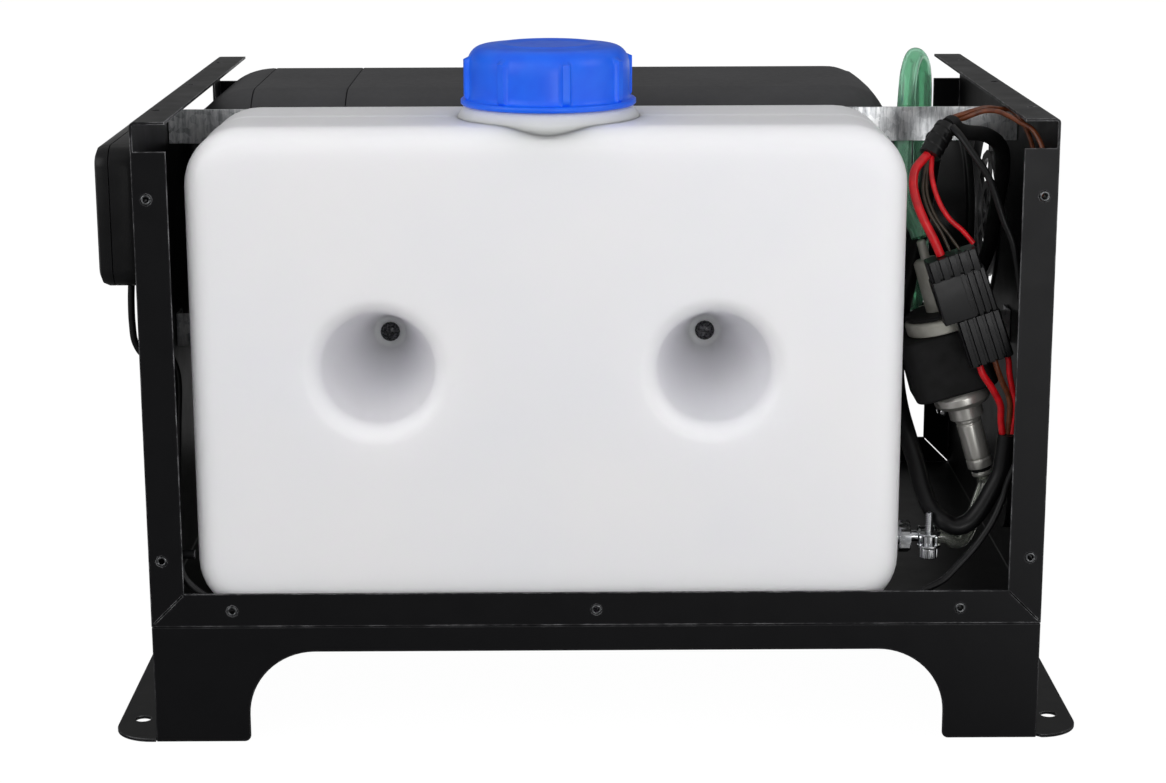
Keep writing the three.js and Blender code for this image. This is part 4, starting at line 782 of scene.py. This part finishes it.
# Inner pieces keep the solids' shapes, with their corners eased.
for node, material, width in (
    ("heat_exchanger", "cast", 0.4), ("combustion_chamber", "cast", 0.4), ("blower_housing", "cast", 0.5),
    ("glow_plug", "steel", 0.15), ("motor", "steel", 0.4), ("control_board", "board", 0.12),
    ("heater_cradle", "galvanised", 0.3), ("base_gasket", "fibre", 0.3), ("exhaust_pipe", "steel", 0.3),
    ("intake_pipe", "rubber", 0.3),
    ("cross_strip_upper", "galvanised", 0.25), ("cross_strip_lower", "galvanised", 0.25),
    ("tank_screw_left", "blackened", 0.12), ("tank_screw_right", "blackened", 0.12),
    ("inlet_grille", "black", 0.35), ("outlet_ring", "black", 0.35),
    ("controller_front", "black", 0.25), ("controller_back", "black", 0.25),
):
    softened(node, node + "_finished", material, width=width)
for node, name, material, width, body in (
    ("rotor_shaft", "rotorShaft", "steel", 0.3, "rotor"),
    ("heating_fan", "heatingFan", "black", 0.3, "rotor"),
    ("combustion_fan", "combustionFan", "cast", 0.25, "rotor"),
    ("pump_plunger", "pumpPlunger", "steel", 0.25, "plunger"),
    ("controller_screen", "controllerWindow", "window", 0.15, "case"),
):
    softened(node, name, material, width, body)
for i in range(1, 6):
    softened(f"button_{i}", f"keyCap{i}", "key", width=0.5, body=f"key_{i}", segments=3)
spring = softened("plunger_spring", "returnSpring", "steel", width=0.02, angle=80)
softened("cable_grommet", "cableGrommet", "rubber", width=0.5, segments=3)
softened("power_gland", "powerGland", "black", width=0.5)
print("heater ready")

# fuel pump, turned round its own tilted axis
bay = 136.5  # the tank's right side; points of the right bay are counted from it
pumpTable = {
    "top": (bay + 11.6, 50.0, 221.0), "tilt": 16.1, "block": (-21.5, 17.0, -15.5, 19.0), "corner": 6.0,
    "blockEnds": (42.0, 71.6), "blockEase": 1.6, "canBore": 12.5,
    "collar": (81.4, 85.4), "knurls": 60, "knurlDepth": 0.22,
}


def tiltedAxis(table):
    # where a tilted axis starts, its way down and the way across it, from the table's top and tilt
    tilt, (x, behindFront, z) = math.radians(table["tilt"]), table["top"]
    way, side = np.array([math.sin(tilt), 0, -math.cos(tilt)]), np.array([math.cos(tilt), 0, math.sin(tilt)])
    return np.array([x, frontY + behindFront, z]), way, side


def laidAcross(axis, distance, section):
    # a flat section (rows of sideways and backwards) laid across a tilted axis, this far down it
    origin, way, side = axis
    return origin + way * distance + side * section[:, :1] + np.array([0, 1.0, 0]) * section[:, 1:]


pumpAxis = tiltedAxis(pumpTable)
pumpOrigin, pumpWay, pumpSide = pumpAxis


def pumpTurned(profile, radius=0.4, wave=None):
    # a turned shape on the pump's axis; heights count down the axis from the pump's top
    return turnedSoft(profile, radius, pumpOrigin, pumpWay, sides=72, wave=wave)


def knurled(radius, height, angle):
    # fine straight teeth on the collar only
    top, bottom = pumpTable["collar"]
    onCollar = (height > top) & (height < bottom) & (radius > 7.2)
    return radius + pumpTable["knurlDepth"] * onCollar * np.sign(np.sin(pumpTable["knurls"] * angle))


def pumpCorners(ys, width, near, far):
    # a flat bar along y: rows of four corners, width to both sides of the axis, between two distances down it
    rows = []
    for y in ys:
        for s, d in ((-width, near), (width, near), (width, far), (-width, far)):
            x, _, z = pumpOrigin + pumpWay * d + pumpSide * s
            rows.append([x, y, z])
    faces = gridFaces(len(ys), 4, closeCols=True)
    last = 4 * len(ys) - 4
    return np.array(rows), np.vstack([faces, [[3, 2, 1, 0], [last, last + 1, last + 2, last + 3]]])


neckShape = pumpTurned(
    [(0, 0), (1.7, 0), (2.1, 0.9), (2.1, 9), (4.9, 9), (5.9, 10.2), (5.9, 33.6), (0, 33.6)]
)
canShape = pumpTurned(
    [(0, 35.0), (15.6, 35.0), (16.8, 36.2), (16.8, 41.6), (12.1, 41.7), (12.1, 71.5), (0, 71.5)], 0.8
)
stripY = (frontY + 58.0, -42.9)
tail = pumpCorners(np.linspace(*stripY, 6), 5.0, 40.2, 41.6)
foot = pumpCorners(np.linspace(-44.2, -42.9, 2), 5.0, 40.4, 50.6)
makePiece("pumpBody", joinGrids(neckShape, canShape, tail, foot), "nickel", nodesReplaced=("pump_body",))
washer = pumpTurned(
    [(5.9, 33.1), (15.4, 33.1), (16.2, 33.7), (16.2, 34.4), (15.4, 34.9), (5.9, 34.9), (5.9, 33.1)]
)
makePiece("pumpWasher", washer, "rubber")


def rubberBlock():
    # the square section with round corners, its ends drawn in by a soft edge, round a bore for the can
    t = pumpTable
    x0, x1, y0, y1 = t["block"]
    half = np.array([(x1 - x0) / 2, (y1 - y0) / 2])
    middle = np.array([(x0 + x1) / 2, (y0 + y1) / 2])
    angle = np.linspace(0, 2 * math.pi, 144, endpoint=False)
    ray = np.stack([np.cos(angle), np.sin(angle)], 1)
    (start, end), ease = t["blockEnds"], t["blockEase"]
    turns = np.linspace(0, math.pi / 2, 5)
    inset = [(ease * (1 - math.sin(a)), start + ease * (1 - math.cos(a))) for a in turns]
    inset += [(0, d) for d in np.linspace(start + ease, end - ease, 8)[1:-1]]
    inset += [(ease * (1 - math.cos(a)), end - ease * (1 - math.sin(a))) for a in turns]
    rows = []
    for cutBack, d in inset:
        h, corner = half - cutBack, t["corner"] - cutBack * 0.5
        square = np.min(h / np.maximum(np.abs(ray), 1e-6), axis=1)[:, None] * ray
        rows.append(laidAcross(pumpAxis, d, roundedCorners(square, h, corner) + middle))
    rows += [laidAcross(pumpAxis, d, t["canBore"] * ray) for d in (end, start)]
    return np.array(rows), gridFaces(len(rows), len(ray), closeRows=True, closeCols=True)


makePiece("pumpSleeve", rubberBlock(), "rubber", nodesReplaced=("pump_sleeve",), sharp=50)
endShape = pumpTurned(
    [
        (0, 72.0), (11.9, 72.0), (13.1, 74.4), (13.1, 77.4), (11.4, 79.4), (7.9, 80.2), (7.9, 85.8),
        (6.0, 86.4), (6.0, 87.8), (5.5, 88.2), (5.5, 88.8), (5.9, 89.2), (5.9, 105.4), (5.4, 105.8),
        (5.4, 106.4), (5.9, 106.8), (5.9, 110.6), (4.2, 110.7), (4.2, 112.8), (4.8, 113.1), (4.8, 114.5),
        (2.2, 114.7), (2.1, 116.7), (0, 116.7),
    ],
    0.35,
    wave=knurled,
)
makePiece("pumpEnd", endShape, "steel", nodesReplaced=("pump_end",))
sealRing = pumpTurned(
    [(4.0, 110.8), (4.4, 110.8), (4.45, 111.8), (4.4, 112.6), (4.0, 112.6), (4.0, 110.8)], 0.2
)
makePiece("pumpSealRing", sealRing, "rubber")
print("pump ready")

# hoses
hoses = {"green": 4.2, "greenBore": 2.6, "clear": 3.4, "clearBore": 2.2, "fuelInlet": (92.0, 185.0, 124.0)}


def inBay(points):
    # points counted from the tank's right side, as points of the part
    return [(bay + x, behindFront, z) for x, behindFront, z in points]


greenRoute = [
    (pumpTable["top"][0] - 0.3, 50, 222.2),
    *inBay([
        (10.6, 51.2, 225.2), (8.2, 54.8, 230), (5.9, 61, 236.6), (5.6, 71, 243.4), (7.6, 88, 249.4),
        (9.6, 103, 258), (10.6, 106.2, 268), (11.3, 107.4, 280), (12.6, 110.6, 290.6), (16, 118.5, 297),
        (20.2, 126, 293), (21.8, 129, 283), (22, 129, 268), (22, 127.5, 250), (22.5, 125, 228),
        (21, 121, 195), (16.5, 117, 165), (9.5, 118, 143), (1.5, 128, 129),
    ]),
    (128, 150, 124), (116, 174, 124), (104, 184, 124), hoses["fuelInlet"],
]
greenHose = tube(greenRoute, hoses["green"], sides=28, bore=hoses["greenBore"])
makePiece("greenHose", greenHose, "green", nodesReplaced=("fuel_hose_green",))


def pumpPoint(distance):
    # a point of a hose on the pump's axis, this far down it
    spot = pumpOrigin + pumpWay * distance
    return (spot[0], pumpTable["top"][1], spot[2])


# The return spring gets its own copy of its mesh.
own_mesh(spring)

clearRoute = [
    pumpPoint(115.1), pumpPoint(118.5),
    *inBay([
        (43.8, 49.2, 103.6), (42, 48, 98.6), (39.8, 46.2, 93.2), (36.8, 43, 87.2), (33, 38, 83),
        (28.5, 33, 83.4), (24.5, 30.3, 86.4), (20.5, 30, 87), (12.3, 30, 87),
    ]),
]
clearHose = tube(clearRoute, hoses["clear"], sides=28, bore=hoses["clearBore"])
makePiece("clearHose", clearHose, "clear", nodesReplaced=("fuel_hose_clear",))

# tank outlet and clamp
outlet = np.array([136.8, frontY + 30, 87.0])


def hexNut(width, length, start, direction, origin, chamfer=0.7):
    # a hexagon prism whose corners are cut back by a cone at both ends
    flats = width / 2

    def sixSided(radius, height, angle):
        # the radius, but no more than the distance to the hexagon's side
        edge = flats / np.cos((angle + math.pi / 6) % (math.pi / 3) - math.pi / 6)
        return np.minimum(radius, edge)

    tip, end = flats / math.cos(math.pi / 6), start + length
    profile = [(0, start), (flats * 0.93, start), (flats, start + 0.05), (tip, start + chamfer)]
    profile += [(tip, end - chamfer), (flats, end - 0.05), (flats * 0.93, end), (0, end)]
    return turnedShape(profile, origin, direction, sides=96, wave=sixSided)


outletShape = joinGrids(
    hexNut(13.2, 5.3, 1.9, (1, 0, 0), outlet),
    turnedSoft([(0, -9), (4, -9), (4, 2.2), (0, 2.2)], 0.3, outlet, (1, 0, 0), sides=32),
    turnedSoft([(0, 7), (2.5, 7), (2.5, 11.2), (1.8, 11.7), (0, 11.7)], 0.3, outlet, (1, 0, 0), sides=40),
)
makePiece("tankOutlet", outletShape, "plated", nodesReplaced=("tank_outlet",), sharp=25)

# the clamp: a band round the clear hose, held by a screw that stands beside it
clampTable = {
    "x": 152.0, "bandRadius": 3.7, "screwOut": 2.2, "teeth": 12, "toothHeight": 0.03,
    "thread": (1.4, 1.75), "threadEnds": (3.6, 13.2), "pitch": 0.45,
}
clampAxis = (clampTable["x"], outlet[1], outlet[2])
screwAt = (clampTable["x"], outlet[1] - clampTable["bandRadius"] - clampTable["screwOut"], outlet[2])
threadHeights = np.arange(*clampTable["threadEnds"], clampTable["pitch"])
thread = [(clampTable["thread"][i % 2], z) for i, z in enumerate(threadHeights)]
band = [(4.7, -4.1), (4.7, -3.2), (4.5, -2.9), (4.5, 2.9), (4.7, 3.2), (4.7, 4.1)]


def slotted(radius, height, angle):
    # shallow teeth round the clamp's screw head
    tooth = clampTable["toothHeight"] * np.sign(np.sin(clampTable["teeth"] * angle))
    return radius * (1 + tooth * (radius > 3.4))


# two washers, the head and the barrel, each with the softness of its corners, its sides and its wave
screwParts = (
    ([(0, 2.4), (5.3, 2.4), (5.3, 3.5), (0, 3.5)], 0.2, 40, None),
    ([(0, -3.2), (5.3, -3.2), (5.3, -2.1), (0, -2.1)], 0.2, 40, None),
    ([(0, -8.4), (3.9, -8.4), (4, -8.1), (4, -4), (3.6, -3.5), (0, -3.5)], 0.25, 96, slotted),
    ([(0, -3), (2.9, -3), (2.9, 3.0), (0, 3.0)], 0.3, 32, None),
)
bandProfile = rounded([(3.75, -4.1), *band, (3.75, 4.1), (3.75, -4.1)], 0.12)[:-1]
clampShape = joinGrids(
    turnedShape(bandProfile, clampAxis, (1, 0, 0), sides=64),
    turnedShape([(0, 2.6), (1.4, 2.6), *thread, (1.2, 13.3), (0, 13.5)], screwAt, (0, 0, 1), sides=24),
    *[turnedSoft(profile, soft, screwAt, (0, 0, 1), *rest) for profile, soft, *rest in screwParts],
)
makePiece("hoseClamp", clampShape, "plated", nodesReplaced=("hose_clamp",), sharp=30)
print("hoses ready")

# wiring
wires = {
    "controller": 1.6, "heater": 3.4, "brown": 1.1, "thickRed": 2.0, "thinRed": 1.1, "signal": 0.7,
    "leftLow": 1.6, "middleLow": 1.3, "rightLow": 1.4, "sleeve": 4.2,
}
tapeTable = {"radius": 5.2, "pitch": 4.2, "innermost": -0.45, "thick": 0.4}
grommetZ, channelZ = 172.0, 59.0
controllerLead = [
    (-209, 40, 205), (-209.5, 40, 196), (-209.5, 40, 186), (-208.6, 40, 177.5), (-205.4, 40, grommetZ),
    (-203, 40, grommetZ), (-196, 40, grommetZ), (-193.4, 39.6, grommetZ - 0.6), (-189.5, 36, 164),
    (-188.5, 26, 140), (-188.5, 14, 110), (-188, 5.6, 96), (-187, 4.5, 86), (-185.5, 4.5, 78),
    (-181, 4.5, 72), (-172, 4.2, 65.5), (-160, 3.6, 60.5), (-145, 3.4, channelZ), (0, 3.4, channelZ),
    *inBay([
        (-10.5, 3.4, channelZ), (1.5, 3.4, 62.5), (12.7, 5.5, 69.4), (20.1, 7.5, 72.9), (26.7, 9.5, 79),
        (34.8, 11.5, 87.6), (41.7, 12, 98.3), (46.3, 12.5, 109), (48.4, 12.5, 116.5), (52, 11, 128),
        (54.5, 9.5, 145), (54, 9.5, 185), (51.4, 11, 200), (50.3, 11, 207.1), (49.3, 11, 213.9),
        (46.6, 11.5, 226.4), (42.6, 12.5, 235.9), (35.7, 15.5, 254.7), (28.5, 20.5, 265.6), (24, 25.6, 272),
        (21.6, 30.4, 274.8),
    ]),
]
controllerShape = tube(controllerLead, wires["controller"])
makePiece("controllerLead", controllerShape, "sheath", nodesReplaced=("controller_cable",))


def wrapped(distance, angle):
    # tape wound round a bundle: each turn overlaps the last by a small step
    turns = distance / tapeTable["pitch"] + angle / (2 * math.pi)
    return tapeTable["innermost"] + tapeTable["thick"] * (turns % 1.0)


tapeRoute = inBay([(20.1, 38.8, 273.8), (15.9, 34.5, 268.6), (11.9, 31.3, 262.4)])
tape = tube(tapeRoute, tapeTable["radius"], sides=40, stepsBetween=30, surface=wrapped)
makePiece("harnessTape", tape, "sheath", nodesReplaced=("harness_tape",), sharp=60)
heaterLead = inBay([
    (20.6, 39.2, 274.6), (22.9, 41.7, 275.4), (26.2, 45, 272), (30.5, 48.5, 270.2), (40.6, 56, 268),
    (49, 66, 261.5), (53, 80, 248), (53.5, 99, 226), (52, 112, 202), (44.5, 129, 181), (33.5, 143, 170),
    (23.9, 151.5, 169.6), (18.4, 155.8, 172.7),
])
makePiece("heaterLead", tube(heaterLead, wires["heater"], sides=24), "rubber", nodesReplaced=("heater_lead",))
brownUpper = inBay([
    (22.6, 50.2, 276), (25, 48.4, 277.2), (28, 47.2, 278.4), (32.6, 47.5, 279.8), (39.1, 50.5, 280.9),
    (46.6, 56.5, 279.6), (53, 59, 278.4), (57.6, 54, 272.4), (59.9, 40, 262), (59.9, 22, 250),
    (59.9, 8, 236), (59.9, 4, 215),
])
brownLower = inBay([
    (23.4, 50.6, 275), (26, 48.8, 275.7), (29, 46.4, 276.7), (32, 44.2, 278.3), (36.8, 41.5, 280.4),
    (41.9, 36.5, 281), (46.5, 28.5, 279.6), (49.6, 21.5, 278), (54.3, 14.5, 275.4), (58, 9, 267),
    (59.9, 5.4, 250), (59.9, 4, 215), (59.7, 4.6, 160), (57, 14, 146), (54.2, 20, 139.6),
])
browns = joinGrids(tube(brownUpper, wires["brown"]), tube(brownLower, wires["brown"]))
makePiece("brownWires", browns, "brownWire", nodesReplaced=("brown_wires",))
thickRed = inBay([
    (11.2, 31.3, 262.8), (8.6, 29.9, 260.4), (5.4, 27.8, 256.8), (4, 24.5, 251.2), (5, 21.5, 244.3),
    (8.2, 19.8, 235.9), (12.8, 19.5, 227.1), (16.4, 19.8, 219.4),
])
thinRed = inBay([
    (12.9, 31.3, 261.6), (12.6, 29.4, 258.8), (12.2, 26.6, 255.4), (12.8, 22.5, 249.9), (15.4, 20.5, 242.5),
    (19.7, 19.6, 235.8), (25.7, 19.5, 230.4), (30.6, 19.7, 224.8),
])
reds = joinGrids(tube(thickRed, wires["thickRed"], sides=20), tube(thinRed, wires["thinRed"]))
makePiece("redWires", reds, "redWire", nodesReplaced=("red_wires",))
leftSignal = inBay([
    (11.6, 31.4, 262), (9.6, 28.6, 255), (8.6, 25, 247), (11.2, 22.4, 238), (16.8, 21.4, 229),
    (20.6, 20.8, 221),
])
rightSignal = inBay([
    (12, 31.4, 261.8), (10.6, 28.2, 254), (10.4, 24.6, 246), (14.2, 22.4, 236), (20.2, 21.4, 228),
    (24.6, 20.8, 222),
])
signals = joinGrids(*[tube(route, wires["signal"], sides=12) for route in (leftSignal, rightSignal)])
makePiece("signalWires", signals, "oliveWire")
leftLow = inBay([
    (35.2, 20, 170), (36.8, 20, 165.4), (41.2, 21.5, 158.9), (45.9, 23.5, 150.1), (46.6, 25, 143),
    (47.6, 25.4, 136.4),
])
middleLow = inBay([
    (41.8, 20, 172.4), (43.2, 20, 168), (45.6, 20.7, 162), (49.2, 22.5, 154.5), (50.3, 23.5, 148.5),
    (50.2, 25, 141), (50.1, 25.4, 136.4),
])
rightLow = inBay([
    (47.6, 20, 174.2), (48.4, 20, 170.4), (48.9, 20.4, 165.7), (50.6, 21.6, 158.5), (52.6, 23, 151.4),
    (52.8, 24.4, 145), (52.2, 25.2, 140.6), (51.9, 25.4, 136.4),
])
outerLows = joinGrids(tube(leftLow, wires["leftLow"]), tube(rightLow, wires["rightLow"]))
makePiece("lowerWires", outerLows, "redWire", nodesReplaced=("low_wires",))
makePiece("lowerBrownWire", tube(middleLow, wires["middleLow"]), "brownWire")
loopRoute = inBay([
    (49.6, 25.5, 136), (48.7, 25.5, 126.3), (47.4, 25.5, 117.9), (43.6, 25.5, 109.5), (39, 25.5, 101.1),
    (33.5, 25.5, 94.6), (27.8, 25.5, 92.7), (22.8, 26.8, 94.8), (17.6, 32, 99.2), (14, 38, 107.5),
    (11.2, 43, 118.7), (8.2, 49.5, 129), (5.8, 63, 140), (5.2, 76, 152), (6, 80.5, 170), (9.8, 78.5, 195),
    (13.5, 75, 215), (15.5, 65, 240), (16.2, 57, 255), (16.1, 50, 264), (15.7, 43.2, 268),
])
sleeve = tube(loopRoute, wires["sleeve"], sides=32)
makePiece("harnessSleeve", sleeve, "sheath", nodesReplaced=("harness_loop",))

# connectors: a rounded section with raised ribs, carried along the tilted axis
connectorTable = {
    "top": (bay + 20.3, 20.0, 220.2), "tilt": 19.0, "corner": 0.6, "groove": 0.9, "rib": 1.8, "soft": 0.6,
}
connectorAxis = tiltedAxis(connectorTable)


def connectorBlock(left, right, depth, start, end, ribs, ribbedFrom=None):
    # the section's front edge rises to flat-topped ribs, counted from ribbedFrom to its right edge; the ends
    # are drawn in slightly for a soft edge
    corner, soft = connectorTable["corner"], connectorTable["soft"]
    firstRib = left if ribbedFrom is None else ribbedFrom
    front = np.linspace(left + corner, right - corner, 181)
    part = (front - firstRib) / (right - firstRib) * max(ribs, 1)
    ribbed = (ribs > 0) * (front > firstRib)
    rise = np.clip((0.34 - np.abs(part % 1.0 - 0.5)) / 0.05, 0, 1) * connectorTable["rib"]
    middle = (left + right) / 2
    section = [np.stack([front - middle, -depth / 2 + (connectorTable["groove"] - rise) * ribbed], 1)]
    reach = np.array([(right - left) / 2 - corner, depth / 2 - corner])
    for sx, sy, first in ((1, -1, -math.pi / 2), (1, 1, 0), (-1, 1, math.pi / 2), (-1, -1, math.pi)):
        a = np.linspace(0, math.pi / 2, 5) + first
        section.append(reach * (sx, sy) + corner * np.stack([np.cos(a), np.sin(a)], 1))
    section = np.concatenate([section[0], section[1][1:], *section[2:4], section[4][:-1]])
    atStart = [(start, 0.0), (start, 0.965), (start + soft * 0.3, 0.99), (start + soft, 1)]
    atEnd = [(end - soft, 1), (end - soft * 0.3, 0.99), (end, 0.965), (end, 0.0)]
    rows = [laidAcross(connectorAxis, d, section * scale + (middle, 0)) for d, scale in atStart + atEnd]
    return np.array(rows), gridFaces(len(rows), len(section), closeCols=True)


socketShape = joinGrids(
    connectorBlock(-11.5, 11.5, 11, 0, 10.3, 5), connectorBlock(-12, 12.5, 11, 9.3, 29.6, 4, ribbedFrom=0.5),
    connectorBlock(-12, 1.5, 12.8, 9.3, 29.6, 0),
)
makePiece("socketHousing", socketShape, "black", nodesReplaced=("connector_socket",), sharp=30)
plugShape = connectorBlock(-6.6, 13.2, 10.4, 29.9, 52, 5)
makePiece("plugHousing", plugShape, "black", nodesReplaced=("connector_plug",), sharp=30)
print("wiring ready")

# floor, light, camera
light = {
    "floorSeen": 0.985, "floorGlow": (0.12, 0.95), "glowFrom": (0.15, 0.4), "floorHalf": 9, "floorBack": 14,
    "frontFrom": (0.2, -0.3), "highFrom": (0.45, 0.75), "aim": (0, -0.05, 0.15),
    "sides": ((-1.0, 0.9), (-0.3, 0.25), (0.3, 0.25), (1.0, 0.6)),
    "heights": ((0.0, 0.36), (0.15, 0.33), (0.22, 0.12), (0.42, 0.12), (0.62, 0.45), (1.0, 0.5)),
    "key": (-0.3, -2.3, 1.1, 2.6, 29.0), "fill": (-1.8, -1.2, 1.0, 1.4, 7.0),
    "side": (2.0, -0.9, 1.5, 1.2, 7.0), "glint": (0.42, -1.9, 0.16, 0.4, 3.0),
}
floorMesh = bpy.data.meshes.new("floor")
half, back = light["floorHalf"], light["floorBack"]
corners = [(-half, -half, 0), (half, -half, 0), (half, back, 0), (-half, back, 0)]
floorMesh.from_pydata(corners, [], [(0, 1, 2, 3)])
floor = bpy.data.objects.new("floor", floorMesh)
bpy.context.scene.collection.objects.link(floor)


def seenThrough(tree):
    # 1 for what the camera sees, by itself or through a clear hose, and 0 for what lights the part
    path = addNode(tree, "LightPath").outputs
    return calculated(tree, "MAXIMUM", path["Is Camera Ray"], path["Is Transmission Ray"])


# A lit white acrylic table: it glows nearly white itself, so that shadows on it stay faint. The camera sees
# it brighter than the part does, as in a photograph whose background is exposed to white; its glow rises to
# the right.
table, tree, shader, where = startMaterial("litAcrylicTable", "#2e2e2e", 0.9)
shader.inputs["Emission Color"].default_value = (1, 1, 1, 1)
alongX = addNode(tree, "SeparateXYZ", links={"Vector": where}).outputs["X"]
glow = spread(tree, alongX, *light["glowFrom"], *light["floorGlow"], interpolation_type="SMOOTHSTEP")
strength = addNode(tree, "Mix", links={0: seenThrough(tree), 2: glow, 3: light["floorSeen"]})
tree.links.new(strength.outputs[0], shader.inputs["Emission Strength"])
floorMesh.materials.append(table)

# The studio round the part, by direction: a bright wall low at the back, a dim band over it, bright above,
# dim in front, and pure white where the camera looks past the part.
world = bpy.data.worlds.new("studio")
bpy.context.scene.world = world
world.use_nodes = True
tree = world.node_tree
heading = addNode(tree, "TexCoord").outputs["Generated"]
toRight, toBack, upwards = addNode(tree, "SeparateXYZ", links={"Vector": heading}).outputs


def greyRamp(value, stops):
    # a grey level that follows value through the stops (place, level); both go from 0 to 1
    return ramp(tree, value, [(place, (level, level, level, 1)) for place, level in stops])


def mixGreys(factor, first, second):
    # first where factor is 0, second where it is 1
    mix = addNode(tree, "Mix", {"data_type": "RGBA"}, {0: factor, 6: first, 7: second})
    return mix.outputs[2]


byHeight = greyRamp(upwards, light["heights"])
bySide = greyRamp(spread(tree, toRight, -1.0, 1.0), [((x + 1) / 2, level) for x, level in light["sides"]])
lowFront = mixGreys(spread(tree, toBack, *light["frontFrom"]), byHeight, bySide)
around = mixGreys(spread(tree, upwards, *light["highFrom"]), lowFront, byHeight)
withWhite = mixGreys(seenThrough(tree), around, (1.0, 1.0, 1.0, 1.0))
tree.links.new(withWhite, tree.nodes["Background"].inputs["Color"])

# place in metres, size and watts
for name in ("key", "fill", "side", "glint"):
    x, y, z, size, power = light[name]
    lamp = bpy.data.lights.new(name, "AREA")
    lamp.size, lamp.energy = size, power
    holder = bpy.data.objects.new(name, lamp)
    bpy.context.scene.collection.objects.link(holder)
    holder.location = (x, y, z)
    # the wide key light is kept out of reflections, which show the darker front of the studio instead
    holder.visible_glossy = name != "key"
    aim = Vector(light["aim"]) - Vector((x, y, z))
    holder.rotation_euler = aim.to_track_quat("-Z", "Y").to_euler()

# The camera stands where the straight edges of the case meet the photograph: a 77 mm lens, 13.4 degrees down.
view = {
    "place": (-0.01061, -1.20687, 0.41732), "pitch": 0.2338, "yaw": 0.0046, "roll": -0.0035,
    "focal": 2497.52, "wide": 1166, "sensor": 36,
}
pitch, yaw, roll = view["pitch"], view["yaw"], view["roll"]
forward = np.array([math.sin(yaw) * math.cos(pitch), math.cos(yaw) * math.cos(pitch), -math.sin(pitch)])
right = np.array([math.cos(yaw), -math.sin(yaw), 0])
up = np.cross(right, forward)
turnedRight = math.cos(roll) * right + math.sin(roll) * up
turnedUp = math.cos(roll) * up - math.sin(roll) * right
camera = bpy.data.objects.new("camera", bpy.data.cameras.new("camera"))
bpy.context.scene.collection.objects.link(camera)
camera.data.sensor_width = view["sensor"]
camera.data.lens = view["focal"] / view["wide"] * view["sensor"]
camera.data.clip_start, camera.data.clip_end = 0.01, 60
axes = np.eye(4)
axes[:3, 0], axes[:3, 1], axes[:3, 2], axes[:3, 3] = turnedRight, turnedUp, -forward, view["place"]
camera.matrix_world = Matrix(axes.tolist())
bpy.context.scene.camera = camera
bpy.context.scene.view_settings.view_transform = "Standard"
print("stage ready")
